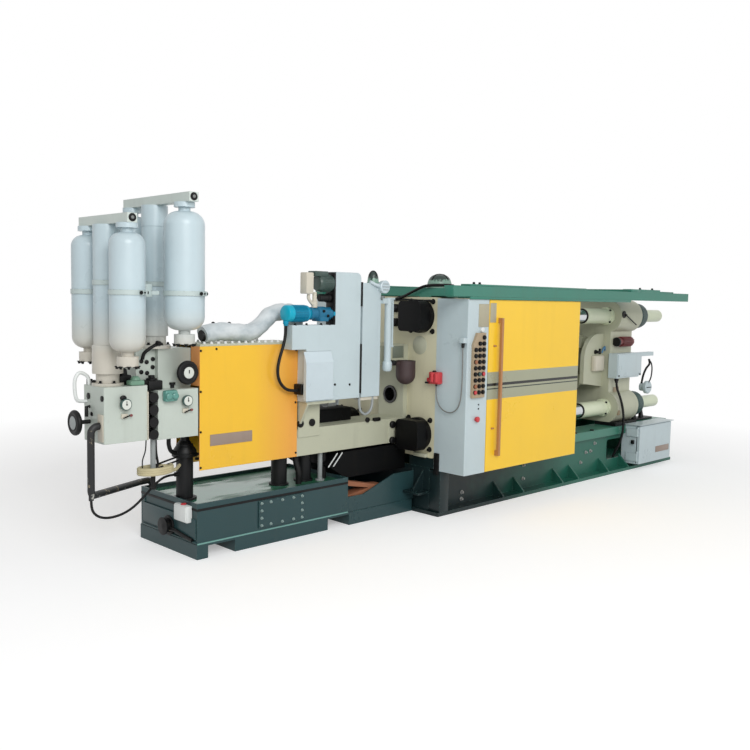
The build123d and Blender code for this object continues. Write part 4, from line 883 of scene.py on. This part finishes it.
for key, form in buttons.items():
    finished("panel_buttons_" + key, form, button_colours[key], slot="black_plastic")
finished("panel_button_collars", collars, plastic_black)
piece(
    "cabinet_foot_strip", plastic_black,
    *[(block, (-12, side * 570, 330), (0, side * 620, 500), 3) for side in (-1, 1)],
)
piece(
    "cabinet_notice_plate", notice_beige,
    (block, (122, cabinet_face - 3, 1497), (248, cabinet_face, 1672), 1),
)

# Guard doors and rails: sheet-steel doors in yellow enamel with a grey-green stripe and two
# black lines, a brown pull bar, and a rail of green enamelled channel above each.


def door_stripe(tree, where, colour):
    """Lay the grey-green stripe and its two black lines over the yellow, by height."""
    height = node(tree, "ShaderNodeSeparateXYZ", in_Vector=where).outputs["Z"]
    for low, high, paint in (
        (.93, 1.144, (160, 162, 138)), (1.034, 1.056, (24, 25, 24)),
        (1.008, 1.017, (44, 54, 48)),
    ):
        over = node(tree, "ShaderNodeMath", operation="GREATER_THAN", in_0=height, in_1=low).outputs[0]
        under = node(tree, "ShaderNodeMath", operation="LESS_THAN", in_0=height, in_1=high).outputs[0]
        colour = mixed(tree, maths(tree, "MULTIPLY", over, under), colour, paint)
    return colour


door_yellow = enamel(
    "door_yellow", (248, 202, 46), rough=.3, grime=.12, wear=.15, shift=.03, under=(250, 224, 150),
    band=door_stripe,
)
coat(door_yellow, "near_guard_door", "far_guard_door")
handle_brown = enamel("handle_brown", (176, 122, 76), rough=.4, grime=.3, wear=.4)
coat(handle_brown, "near_door_fittings", "far_door_fittings")
rail_green = enamel("rail_green", (46, 120, 102), rough=.36, grime=.35, wear=.5, under=green_edge_wear_and_highlight)
coat(rail_green, "door_rails", "rail_cross_beams")
for side, body in ((-1, "near_door"), (1, "far_door")):
    face = side * 871
    out = (0, side, 0)
    form = bmesh.new()
    for z in (1348, 700):
        turned(form, (322, face, z), out, knob(8, 6, (8, 5)), 16)
        block(form, (318, face, z - 5), (344, face + side * 12, z + 5), 2)
    finished(body + "_screws", form, handle_brown, body=body, slot="handle_brown")
    form = bmesh.new()
    block(form, (262, face, 1530), (336, face + side * 3, 1680), 1)
    finished(body + "_notice_plate", form, notice_beige, body=body)
rail_low, rail_high = span("door_rails")
form = bmesh.new()
for side in (-1, 1):
    y = side * 840
    start = rail_low.x if side < 0 else 0
    block(form, (-10, y - 45, rail_high.z), (1600, y + 45, rail_high.z + 14), 3)
    block(form, (2380, y - 45, rail_high.z), (2558, y + 45, rail_high.z + 26), 3)
    block(form, (2942, y - 40, rail_high.z), (3230, y + 40, rail_high.z + 12), 3)
    block(form, (max(start, 0), side * 876, 1706), (2380, side * 884, rail_low.z), 1)
    block(form, (start - 4, side * 795, rail_low.z), (start, side * 885, rail_high.z), 1)
finished("rail_step_plates", form, rail_green, slot="rail_green")
places = [
    ((x, side * 840, rail_high.z + lift), top_way) for side in (-1, 1)
    for x, lift in ((90, 14), (160, 14), (2620, 26), (2860, 26))
]
bolts("rail_bolts", places, bolt_black, 11)

# Shot frame covers and wrapped pipe: folded sheet covers in yellow enamel, painted orange
# towards the platen and on the return edge as painted shade, a pale top plate with two rows
# of bolts, and a pipe wrapped in cloth and foil, painted over, that rises to the ladle.


def orange_painted_shade(tree, where, colour):
    """Paint the yellow orange towards the platen and on the return edge, by X: painted shade."""
    along = node(tree, "ShaderNodeSeparateXYZ", in_Vector=where).outputs["X"]
    share = ranged(tree, along, -1.52, -1.16)
    colour = mixed(tree, share, colour, (232, 160, 66))
    return mixed(tree, ranged(tree, along, -1.9555, -1.9565), colour, (236, 158, 88))


cover_yellow = enamel(
    "cover_yellow", (240, 189, 44), rough=.3, grime=.15, wear=.2, shift=.03, under=(250, 224, 150),
    band=orange_painted_shade,
)
coat(cover_yellow, "shot_covers")
coat(cast_grey, "cover_top_plate")
cover_low, cover_high = span("shot_covers")
plate_top = span("cover_top_plate")[1].z
cover_face = cover_low.y
places = [
    ((x, cover_face, z), near_way)
    for x, z in (
        (-1949, 1074), (-1949, 810), (-1158, 1323), (-1151, 586), (-1829, 1349), (-1949, 575),
        (-1158, 950), (-1949, 1340),
    )
]
places += [
    ((x, cover_high.y, z), far_way)
    for x, z in ((-1940, 1074), (-1940, 810), (-1158, 1323), (-1158, 586), (-1940, 1340), (-1158, 950))
]
bolts("cover_screws", places, bolt_black, 6)
bolt_white = enamel("bolt_white", (232, 234, 232), rough=.3, grime=.2, wear=.2)
places = [((-1910 + 55 * i, y, plate_top), top_way) for i in range(12) for y in (-236, 6)]
bolts("cover_top_bolts", places, bolt_white, 10)
piece(
    "cover_bare_plate", plate_grey, (block, (-1877, cover_face - 3, 711), (-1538, cover_face, 786), 1),
)


def foil(name):
    """Cloth and foil wrap painted over: pale blue-grey, with soft fold relief and a dull sheen. The
    tint is darker in the hollows of the relief: painted shade.
    """
    made, tree, skin, where = principled(name)
    fold_relief_and_shade = noise(tree, where, 13, 4, .5, (.6, 1.0, 1.0))
    tint = mixed(tree, ranged(tree, fold_relief_and_shade, .35, .6), (184, 194, 198), (214, 220, 222))
    tree.links.new(tint, skin["Base Color"])
    tree.links.new(ranged(tree, fold_relief_and_shade, .35, .7, .6, .42), skin["Roughness"])
    bump = node(tree, "ShaderNodeBump", in_Height=fold_relief_and_shade, in_Strength=.35, in_Distance=.012)
    tree.links.new(bump.outputs[0], skin["Normal"])
    return made


foil_wrap = foil("foil_wrap")
wrap_y = (span("wrapped_pipe")[0].y + span("wrapped_pipe")[1].y) / 2
piece(
    "wrapped_pipe_foil", foil_wrap,
    (pipe,
     smoothed([(-1845, wrap_y, 1434), (-1790, wrap_y, 1448), (-1680, wrap_y, 1456),
               (-1550, wrap_y, 1446), (-1450, wrap_y, 1448), (-1370, wrap_y, 1492),
               (-1290, wrap_y, 1562), (-1200, wrap_y, 1588), (-1100, wrap_y, 1588),
               (-1060, wrap_y, 1560), (-1060, wrap_y, 1480), (-1060, wrap_y, 1385)], 12), 60, 40, 8),
    slot="foil_wrap", instead=("wrapped_pipe",),
)
piece(
    "wrapped_pipe_clips", plastic_black,
    (turned, (-1858, wrap_y, 1432), right, [(0, 34), (10, 40), (20, 40)], 32),
    *[(turned, (x, wrap_y, z), top_way, [(0, 13), (12, 11), (16, 6)], 16)
      for x, z in ((-1760, 1506), (-1630, 1504))],
)

# Hydraulic blocks: machined iron manifolds in pale enamel at the shot end. They carry two
# pressure gauges with shut-off levers, plugged ports, valves and a looped pipe.
block_white = enamel(
    "block_white", (192, 201, 192), rough=.34, grime=.35, wear=.3, under=(235, 236, 228),
)
coat(block_white, "hydraulic_blocks")
block_face = -252
block_end = span("hydraulic_blocks")[0].x
dial_white = enamel("dial_white", (216, 220, 212), rough=.2, grime=.1, wear=0)
rims, dials, needles, brackets, levers, grips = (bmesh.new() for _ in range(6))
for x, z, lever_x, lever_z in ((-2494, 1034, -2483, 961), (-2066, 1028, -2058, 963)):
    turned(brackets, (x, block_face, z), near_way, knob(20, 16, (18, 12), (22, 12)), 20)
    turned(rims, (x, block_face - 18, z), near_way, [(0, 30), (4, 35), (22, 36), (25, 33)], 36)
    turned(dials, (x, block_face - 40, z), near_way, [(0, 30.5), (4, 30)], 36)
    block(needles, (x - 2, block_face - 46, z - 4), (x + 2, block_face - 44, z + 22), .6)
    turned(needles, (x, block_face - 44, z), near_way, knob(5, 3), 12)
    block(
        brackets, (lever_x - 28, block_face - 14, lever_z - 14),
        (lever_x + 12, block_face, lever_z + 14), 3,
    )
    pipe(
        levers,
        [(lever_x - 20, block_face - 18, lever_z - 12), (lever_x + 22, block_face - 22, lever_z + 4)],
        4, 10,
    )
    turned(
        grips, (lever_x + 20, block_face - 22, lever_z + 3), right, [(0, 6), (5, 8), (14, 8), (18, 5)],
        16,
    )
finished("gauge_rims", rims, gear_green, slot="tank_green")
finished("gauge_dials", dials, dial_white)
finished("gauge_needles", needles, bolt_black)
finished("gauge_brackets", brackets, beige)
finished("shut_off_levers", levers, bolt_black)
finished("shut_off_grips", grips, motor_red)
piece(
    "block_ports", plastic_black,
    (turned, (-2504, block_face, 1072), near_way, knob(12, 14, (16, 18), (28, 18), (32, 12)), 20),
    *[(turned, (block_end, y, z), left, knob(size, 5, (7, size * .7)), 20)
      for y, z, size in ((-56, 1073, 20), (-230, 1072, 18), (-31, 962, 13), (-97, 967, 13),
                         (-90, 850, 13))],
    (turned, (-2096, -150, 1100), top_way, knob(14, 20, (22, 22), (36, 22)), 20),
    *[(turned, (x, -110, z), near_way, knob(14, 6, (8, 10)), 20)
      for x, z in ((-2256, 1270), (-2212, 1287), (-2293, 1276), (-2214, 1236), (-2294, 1208),
                   (-2253, 1200))],
    (block, (-2600, 5, 1139), (-2560, 10, 1170), 2),
    (pipe, [(-2610, -80, 1155), (-2540, -80, 1162)], 12),
    (pipe, [(-2619, -70, 1010), (-2640, -70, 1010), (-2640, -70, 950)], 10),
    (block, (-2300, -215, 1100), (-2200, -110, 1160), 8),
    (turned, (-2250, -160, 1160), top_way, knob(34, 10, (14, 20), (30, 20)), 24),
    (block, (-2470, -170, 1139), (-2390, -80, 1200), 8),
    (turned, (-2430, -125, 1200), top_way, [(0, 30), (30, 26), (40, 16)], 24),
    (hose, [(-2292, -125, 1290), (-2284, -135, 1330), (-2240, -160, 1370), (-2215, -175, 1385)], 11),
    (turned, (-2215, -178, 1378), (2, -3, 10), [(0, 12), (8, 20), (22, 20), (28, 12)], 20),
)
piece(
    "block_green_valve", enamel("valve_green", (112, 152, 130), rough=.3, grime=.4),
    (block, (-2440, -248, 1139), (-2345, -185, 1172), 10),
    (turned, (-2392, -216, 1172), top_way, [(0, 30), (12, 28), (24, 16)], 24), slot="rail_green",
)
teal = enamel("valve_teal", (92, 148, 138), rough=.15, grime=.3, wear=.3)
piece(
    "block_teal_valve", teal, (block, (-2232, block_face - 46, 1030), (-2139, block_face, 1103), 14),
    (turned, (-2208, block_face - 46, 1066), near_way, knob(22, 10, (16, 14)), 24),
    (turned, (-2164, block_face - 46, 1066), near_way, knob(22, 10, (16, 14)), 24), slot="rail_green",
)
# The beige plate low on the block's end face, by its near corner, is painted shade.
piece(
    "block_end_plate", beige, (block, (block_end - 6, -244, 810), (block_end, -178, 975), 3),
    (block, (-2334, block_face - 10, 797), (-2328, block_face + 20, 1100), 2),
)
piece(
    "block_looped_pipe", switch_white,
    (hose,
     [(-2600, -30, 1139), (-2612, -30, 1190), (-2660, -30, 1215), (-2690, -30, 1180),
      (-2694, -30, 1110), (-2680, -30, 1050), (-2640, -30, 1040), (-2618, -30, 1040)], 11),
)
coat(cable_black, "hose_fittings")
piece(
    "hose_post", pipe_grey, (pipe, [(-2264, -200, 797), (-2264, -200, 560)], 17),
    (turned, (-2264, -200, 560), top_way, knob(23, 14), 20),
)
piece(
    "hose_tails", cable_black,
    (hose, [(-2264, -200, 562), (-2264, -200, 500), (-2258, -198, 485), (-2256, -198, 470)], 15),
    (hose, [(-2300, -180, 797), (-2312, -190, 720), (-2335, -195, 660), (-2338, -200, 600)], 4),
    (hose, [(-2240, -190, 797), (-2236, -190, 700), (-2225, -190, 630), (-2240, -195, 580)], 8),
    *[(hose, [(-2264, -200, z), (-2170, -160, z + 8), (-2020, -100, z + 18)], 6) for z in (618, 592)],
)
coil_cream = rubber("coil_cream", (196, 186, 150), .5, (120, 110, 84))
form = bmesh.new()
turns = [
    (-2250 + 110 * math.cos(t), -205 + 80 * math.sin(t), 572 + 2.2 * t)
    for t in [math.tau * i / 28 for i in range(28 * 3 + 1)]
]
pipe(form, turns, 11.5, 12)
hose(form, [(-2150, -205, 575), (-2090, -180, 572), (-2030, -130, 585)], 11.5, 12)
finished("coiled_pipe", form, coil_cream)

# Accumulators: forged gas bottles, piston accumulators and header bars in pale enamel. Their
# straps are pale steel bands drawn up by black clamp bolts, and black plugs close the ends.


def shade_below_straps(tree, where, colour):
    """Tone the enamel warmer and a little darker towards the lower ends, by height: soft
    painted shade below the straps.
    """
    height = node(tree, "ShaderNodeSeparateXYZ", in_Vector=where).outputs["Z"]
    return mixed(tree, ranged(tree, height, 1.62, 1.34, 0, .7), colour, (204, 190, 168))


bottle_white = enamel(
    "bottle_white", (190, 207, 213), rough=.28, grime=.2, wear=.1, band=shade_below_straps,
    under=(235, 238, 238),
)
coat(bottle_white, "gas_bottles", "accumulator_pistons")
coat(enamel("header_white", (204, 214, 208), rough=.34, grime=.25, wear=.3), "accumulator_headers")
strap_pale = enamel(
    "strap_pale", (186, 200, 198), rough=.35, grime=.3, wear=1.0, under=(46, 52, 50), soft=.006,
)
coat(strap_pale, "strap_frame")
bottles = [
    ((-2525, -365), 109, 1271, 2108), ((-2525, 115), 109, 1271, 2108), ((-2180, -430), 128, 1399, 2252),
    ((-2180, 190), 128, 1399, 2252),
]
plugs = bmesh.new()
caps = bmesh.new()
lugs = bmesh.new()
places = []
for (x, y), reach_out, foot, head in bottles:
    side = -1 if y < 0 else 1
    end_y = y + side * (103 if x > -2300 and side < 0 else 63)
    turned(plugs, (x, end_y, head + 29), (0, side, 0), knob(24, 3, (4, 21)), 28)
    turned(caps, (x, end_y, head + 29), (0, side, 0), knob(10, 6, (8, 7)), 20)
    for i in range(8):
        turn = math.tau * (i + .5) / 8
        at = (x + 62 * math.cos(turn), y + 62 * math.sin(turn))
        places += [((*at, foot + 1), (0, 0, -1))]
    out = Vector((.35, .94 * side, 0)).normalized()
    spot = Vector((x, y, 1706)) + out * (reach_out + 6)
    across = Vector((-out.y, out.x, 0))
    for shift_y in (-16, 16):
        middle = spot + across * shift_y
        prism(
            lugs,
            [middle + out * a + across * b + Vector((0, 0, -14))
             for a, b in ((-12, -6), (18, -6), (18, 6), (-12, 6))],
            (0, 0, 28),
        )
        turned(
            plugs, middle + out * 10, across * (1 if shift_y > 0 else -1), [(4, 11), (12, 11), (14, 8)],
            12,
        )
    pipe(plugs, [spot + out * 10 - across * 30, spot + out * 10 + across * 30], 5, 10)
finished("header_plugs", plugs, plastic_black)
finished("header_plug_centres", caps, link_steel)
finished("strap_lugs", lugs, strap_pale)
bolts("bottle_foot_bolts", places, bolt_black, 10)
piece(
    "strap_ties", strap_pale,
    (prism, [(-2438, -300, 1693), (-2300, -345, 1693), (-2300, -315, 1693), (-2438, -272, 1693)],
     (0, 0, 26)),
    (prism, [(-2448, -90, 1749), (-2262, -80, 1749), (-2262, -55, 1749), (-2448, -65, 1749)],
     (0, 0, 26)),
    (prism, [(-2440, 130, 1693), (-2296, 175, 1693), (-2296, 200, 1693), (-2440, 155, 1693)],
     (0, 0, 26)),
    (block, (-2385, -330, 1680), (-2340, -285, 1760), 4),
)
piece(
    "piston_joints", bottle_white, (turned, (-2180, -85, 2120), top_way, knob(84.5, 8), 48),
    (turned, (-2525, -120, 1213), top_way, knob(92, 168, (175, 84.5)), 48),
    (turned, (-2525, -120, 1139), top_way, knob(95, 18), 48),
    (turned, (-2180, -85, 1355), top_way, knob(98, 20, (24, 90)), 48),
)
piston_feet = [((-2525, -120), 1157), ((-2180, -85), 1379)]
places = []
for (x, y), z in piston_feet:
    for i in range(6):
        turn = math.tau * (i + .5) / 6
        places.append(((x + 80 * math.cos(turn), y + 80 * math.sin(turn), z), top_way))
bolts("piston_foot_bolts", places, bolt_black, 10)

# Ladle unit: a sheet-steel tower and column in pale enamel on a gusseted bracket, with a
# blue gear motor, a dark green pump motor and its beige terminal box. A rod carries the
# rust-red iron cup on a pivot, and green domes close the cabinet and the column.
coat(sheet_white, "ladle_body", "ladle_column")
coat(cast_grey, "ladle_bracket")
cover_pale = enamel(
    "drive_cover_pale", (196, 210, 216), rough=.28, grime=.2, wear=.2, under=(240, 240, 240),
)
coat(cover_pale, "ladle_drive_cover")
coat(enamel("cup_rust", (60, 44, 44), rough=.6, grime=.8, wear=.3, shift=.25), "ladle_cup")
motor_blue = enamel(
    "motor_blue", (6, 142, 176), rough=.3, grime=.15, wear=.3, shine=.3, under=(120, 200, 220),
)
motor_cyan = enamel(
    "motor_cyan", (10, 168, 196), rough=.28, grime=.1, wear=.2, shine=.3,
)
gearbox_blue = enamel(
    "gearbox_blue", (28, 108, 142), rough=.35, grime=.4, wear=.5, shine=.3,
)
gear_z, pump_z, motors_y = (1583, 1800, -300)
piece(
    "gear_motor_cap", motor_cyan,
    (turned, (-1300, motors_y, gear_z), right,
     [(0, 48), (4, 55), (8, 58), (30, 59.5), (50, 59.5), (54, 56)], 40),
)
piece(
    "gear_motor_body", motor_blue,
    (turned, (-1246, motors_y, gear_z), right,
     knob(54, 120, (124, 58), (136, 58), (150, 46), (166, 40)), 40),
    (turned, (-1288, motors_y, 1532), (0, 0, -1), knob(20, 22, (24, 16), (34, 16)), 20),
    (turned, (-886, motors_y, gear_z), right, [(0, 49), (4, 50), (16, 50)], 40),
    instead=("ladle_motors",),
)
fins = ring_of(34, (-1186, motors_y, gear_z), 56)
bars("gear_motor_fins", fins, (116, 3, 9), motor_blue)
piece(
    "gear_motor_gearbox", gearbox_blue,
    (turned, (-1082, motors_y, gear_z), right,
     [(0, 44), (20, 46), (24, 40), (60, 40), (66, 52), (130, 52), (150, 46), (196, 46)], 36),
    (block, (-1012, motors_y - 46, gear_z - 56), (-930, motors_y + 50, gear_z - 20), 6),
)
places = [((-886, motors_y + a * 33, gear_z + b * 33), left) for a, b in corners]
places += [
    ((-985, motors_y - 52, gear_z + 18), near_way), ((-945, motors_y - 52, gear_z - 16), near_way),
]
bolts("gear_motor_bolts", places, bolt_black, 8)
wing_top = 1503
places = [((x, motors_y - 40, wing_top), top_way) for x in (-1239, -1135, -1000, -924)]
bolts("ladle_wing_bolts", places, bolt_black, 9)
pump_green = enamel(
    "pump_green", (52, 74, 68), rough=.3, grime=.4, wear=.4, under=(150, 170, 160),
)
piece(
    "pump_motor", pump_green,
    (turned, (-1015, motors_y, pump_z), right, [(0, 50), (10, 58), (26, 62), (110, 60), (125, 60)], 40),
    (block, (-1060, motors_y - 42, 1846), (-935, motors_y + 42, 1884), 6),
)
fins = ring_of(30, (-940, motors_y, pump_z), 60)
bars("pump_motor_fins", fins, (80, 3, 8), pump_green)
piece(
    "pump_terminal_box", beige, (block, (-1135, motors_y - 36, 1722), (-1068, motors_y + 36, 1872), 6),
)
piece(
    "pump_fittings", plastic_black,
    (turned, (-990, motors_y, 1695), right,
     [(0, 22), (6, 28), (70, 28), (74, 34), (92, 34), (96, 26), (120, 26)], 28),
    (block, (-886, motors_y - 48, 1500), (-870, motors_y + 40, 1880), 3),
)
piece(
    "pump_pipe", beige,
    (turned, (-1030, motors_y, 1735), (0, 0, -1), knob(16, 60, (64, 22), (110, 22)), 20),
    (hose, [(-1085, -300, 1720), (-1085, -300, 1690), (-1060, -300, 1660), (-1035, -300, 1640)], 12),
)
tower_face = span("ladle_body")[0].y
piece(
    "ladle_dark_fittings", plastic_black,
    *[(turned, (x, tower_face, z), near_way, knob(9, 3, (4, 6)), 16)
      for x, z in ((-868, 1069), (-722, 1061))],
    *[(block, (-622, tower_face - 3.5, low), (-603, tower_face + 4, high), 1)
      for low, high in ((1640, 1817), (990, 1358))],
    (block, (-1178, -342, 1010), (-1130, -258, 1084), 6),
    (turned, (-270, -345, 1205), near_way, [(-30, 20), (30, 20), (34, 14)], 24),
)
rod = Vector((-338, -358, 0))
piece(
    "ladle_rod_fittings", sheet_white,
    (turned, rod + Vector((0, 0, 1146)), top_way, [(0, 27), (6, 33), (20, 37), (62, 37), (74, 31)], 32),
    (pipe, [(-282, -350, 1330), (-282, -350, 1700)], 9),
    (block, (-350, -368, 1690), (-272, -340, 1706), 3),
    (block, (-350, -360, 1325), (-272, -340, 1341), 3),
)
piece("ladle_column_foot", beige, (block, (-598, tower_face + 12, 930), (-412, -262, 957), 4))
piece(
    "ladle_u_hose", pipe_grey,
    (hose,
     [(-604, -330, 957), (-604, -335, 900), (-588, -335, 850), (-538, -335, 824), (-488, -335, 850),
      (-470, -335, 900), (-470, -335, 955)], 10),
)


def dark_crown(tree, where, colour):
    """Darken the upper part of the domes in patches, by height."""
    height = node(tree, "ShaderNodeSeparateXYZ", in_Vector=where).outputs["Z"]
    patch = maths(tree, "ADD", height, ranged(tree, noise(tree, where, 26, 4), .3, .7, -.02, .02))
    return mixed(tree, ranged(tree, patch, 1.842, 1.856), colour, (34, 54, 48))


dome_green = enamel("dome_green", (122, 156, 140), rough=.3, grime=.5, wear=.5, band=dark_crown)
domes = ((125, -465, 1788, 106, 108), (-453, -303.5, 1812, 46, 90))
form = bmesh.new()
for x, y, z, size, height in domes:
    arc = [
        (height * math.sin(t), size * math.cos(t) ** .6 * .94)
        for t in [math.pi / 2 * i / 9 for i in range(1, 9)]
    ]
    turned(
        form, (x, y, z), top_way,
        [(0, size), (height * .1, size), (height * .12, size * .95), *arc, (height, size * .1)], 40,
    )
finished("dome_shells", form, dome_green, slot="dark_cast", instead=("dome_caps",))
piece(
    "column_disc", cover_pale, (hose, [(-530, -352, 1822), (-480, -362, 1800), (-430, -366, 1790)], 12),
    (turned, (-400, -370, 1786), near_way, knob(49, 14, (18, 44)), 40),
)
form = bmesh.new()
for shift_z in (-22, 0, 22):
    reach_x = math.sqrt(36 ** 2 - shift_z ** 2)
    block(form, (-400 - reach_x, -390, 1784 + shift_z), (-400 + reach_x, -387, 1788 + shift_z), 1)
turned(form, (-400, -353.5, 1700), near_way, knob(18, 14, (16, 12)), 20)
finished("column_disc_ribs", form, link_steel)
form = bmesh.new()
for x, y, z, size, height in domes:
    for across in (Vector((1, 0, 0)), Vector((0, 1, 0))):
        arc = []
        for t in [math.pi * (i + 3.5) / 18 for i in range(12)]:
            reach_out = size * .94 * math.copysign(abs(math.cos(t)) ** .6, math.cos(t))
            arc.append(Vector((x, y, z + height * math.sin(t))) + across * reach_out)
        pipe(form, arc, 5, 8)
    turned(form, (x, y, z + height - 4), top_way, knob(14, 6, (10, 8)), 16)
hose(
    form,
    [(-20, -80, 1690), (-20, -200, 1714), (-20, -313, 1757), (-5, -430, 1802), (40, -545, 1812),
     (110, -580, 1812), (180, -560, 1810)],
    11,
)
hose(form, [(-15, -120, 1690), (-14, -250, 1694), (-14, -400, 1688), (-14, -500, 1690)], 8)
finished("dome_bars", form, bolt_black)
piece(
    "beam_bolts", bolt_black,
    *[(turned, (x, -250, 792), near_way, knob(27, 16, (20, 20)), 24) for x in (-1112, -1004)],
    (turned, (-438, -250, 762), near_way, knob(20, 12, (16, 12)), 20),
    (block, (-372, -266, 744), (-300, -240, 772), 6),
)
# A black block in the dark gap under the shot rod and the ladle: painted shade.
piece(
    "shot_shade_box", hose_black,
    (block, (-790, -100, span("hose_cover")[1].z - 5), (-458, 100, 852), 20), slot="dark_cast",
)
piece("ladle_bracket_web", cast_grey, (block, (-1158, -235, 748), (-1020, -225, 990), 2))

# Safety valve: a red two-lobed limit switch on the platen's face, with a black plunger cap
# and a short dark arm. Its conduit ends in a black gland on the cabinet.
valve_low, valve_high = span("safety_valve")
piece(
    "safety_valve_body", signal_red,
    (block, (valve_low.x + 10, valve_low.y + 6, valve_low.z),
     (valve_high.x, valve_high.y - 30, valve_high.z), 10),
    *[(turned, (-48, y, valve_low.z + 12), top_way, [(0, 14), (6, 19), (70, 19), (78, 12)], 24)
      for y in (valve_low.y + 30, valve_low.y + 72)],
    (block, (-40, valve_high.y - 40, valve_low.z - 4), (valve_high.x, valve_high.y, valve_low.z + 45),
     6),
    instead=("safety_valve",),
)
piece(
    "safety_valve_fittings", plastic_black,
    (turned, (-30, -572, valve_high.z - 12), top_way, [(0, 12), (10, 16), (18, 16), (22, 10)], 20),
    (block, (-64, -535, 1046), (-50, -502, 1060), 3),
    (turned, (-21, -842, 1340), top_way, [(0, 9), (4, 12), (34, 12)], 16),
    (turned, (-25, -590, 1030), top_way, knob(9, 18), 16),
)

# Handwheels and return pipe: black plastic wheels with a pale centre disc, each turning with
# its own wheel, and a steel return pipe whose black paint has flaked to beige and grey.
coat(plastic_black, "side_handwheel", "end_handwheel")
side_low, side_high = span("side_handwheel")
form = bmesh.new()
middle = Vector(((side_low.x + side_high.x) / 2, side_low.y + 4, (side_low.z + side_high.z) / 2))
turned(form, middle, near_way, [(-6, 52), (0, 52), (2, 50)], 36)
finished("side_wheel_web", form, plastic_black, body="side_wheel")
piece(
    "side_wheel_disc", dial_white,
    (turned, middle + Vector((0, -2, 0)), near_way, knob(37, 4, (6, 34)), 36), body="side_wheel",
)
piece(
    "side_wheel_mark", bolt_black,
    (block, (middle.x - 3, middle.y - 11, middle.z - 4), (middle.x + 3, middle.y - 7, middle.z + 18),
     1),
    body="side_wheel",
)
end_low, end_high = span("end_handwheel")
form = bmesh.new()
middle = Vector((end_low.x + 4, (end_low.y + end_high.y) / 2, (end_low.z + end_high.z) / 2))
turned(form, middle, left, [(-6, 52), (0, 52), (2, 50)], 36)
finished("end_wheel_web", form, plastic_black, body="end_wheel")
piece(
    "end_wheel_disc", pipe_grey, (turned, middle + Vector((2, 0, 0)), left, knob(42, 4, (6, 39)), 36),
    body="end_wheel",
)


def flaked(tree, where, colour):
    """Let beige and pale grey show where the black paint has flaked from the pipe."""
    flakes = noise(tree, where, 26, 5, .7, (.6, 1.0, .6))
    bare = noise(tree, where, 9, 4, .6)
    colour = mixed(tree, ranged(tree, flakes, .6, .64), colour, (140, 128, 106))
    return mixed(tree, ranged(tree, bare, .62, .66), colour, (190, 190, 184))


coat(enamel("pipe_flaked_black", (18, 19, 21), rough=.5, grime=.4, band=flaked), "return_pipe")

# Floor, world and lamps: a pale studio that goes to white behind the machine, and one large
# soft lamp on the operator's side.


def straight_rays(tree):
    """Give 1 for rays from the camera, a mirror or glass, and 0 for the rest."""
    path = node(tree, "ShaderNodeLightPath").outputs
    seen = maths(tree, "MAXIMUM", path["Is Camera Ray"], path["Is Glossy Ray"])
    return maths(tree, "MAXIMUM", seen, path["Is Transmission Ray"])


floor_mesh = bpy.data.meshes.new("floor")
reach = 60.0
ends = [(x * reach, y * reach, 0) for x, y in ((-1, -1), (1, -1), (1, 1), (-1, 1))]
floor_mesh.from_pydata(ends, [], [(0, 1, 2, 3)])
floor = bpy.data.objects.new("floor", floor_mesh)
bpy.context.scene.collection.objects.link(floor)
pale = bpy.data.materials.new("floor_pale")
pale.use_nodes = True
tree = pale.node_tree
ground = tree.nodes["Principled BSDF"]
ground.inputs["Base Color"].default_value = (.8, .8, .8, 1)
ground.inputs["Roughness"].default_value = .9
seen = straight_rays(tree)
where = node(tree, "ShaderNodeTexCoord").outputs["Object"]
middle = node(tree, "ShaderNodeVectorMath", operation="SUBTRACT", in_0=where, in_1=(.6, 0, 0))
away = node(tree, "ShaderNodeVectorMath", operation="LENGTH", in_0=middle.outputs[0]).outputs["Value"]
lift = maths(tree, "MULTIPLY", seen, .34)
lift = node(tree, "ShaderNodeEmission", in_Color=(1, 1, 1, 1), in_Strength=lift)
both = node(tree, "ShaderNodeAddShader", in_0=ground.outputs[0], in_1=lift.outputs[0])
white = node(tree, "ShaderNodeEmission", in_Color=(1, 1, 1, 1), in_Strength=1.0)
white_from, white_to = 3.6, 6.5
share = maths(tree, "MULTIPLY", seen, ranged(tree, away, white_from, white_to))
blend = node(tree, "ShaderNodeMixShader", in_0=share, in_1=both.outputs[0], in_2=white.outputs[0])
tree.links.new(blend.outputs[0], tree.nodes["Material Output"].inputs["Surface"])
floor_mesh.materials.append(pale)
world = bpy.data.worlds.new("studio")
world.use_nodes = True
bpy.context.scene.world = world
sky = world.node_tree
light = ranged(sky, straight_rays(sky), 0, 1, .46, 1.0)
sky.links.new(light, sky.nodes["Background"].inputs["Strength"])
sky.nodes["Background"].inputs["Color"].default_value = (1, 1, 1, 1)
for name, place, target, size, power in (
    ("key", (-5.2, -8.6, 5.6), (.2, 0, .9), 5.0, 600),
    ("side", (5.5, -6.5, 4.0), (1.5, 0, .9), 5.0, 60),
):
    lamp = bpy.data.lights.new(name, "AREA")
    lamp.size = size
    lamp.energy = power
    holder = bpy.data.objects.new(name, lamp)
    bpy.context.scene.collection.objects.link(holder)
    holder.location = place
    holder.rotation_euler = (Vector(target) - Vector(place)).to_track_quat("-Z", "Y").to_euler()
bpy.context.scene.view_settings.view_transform = "Standard"
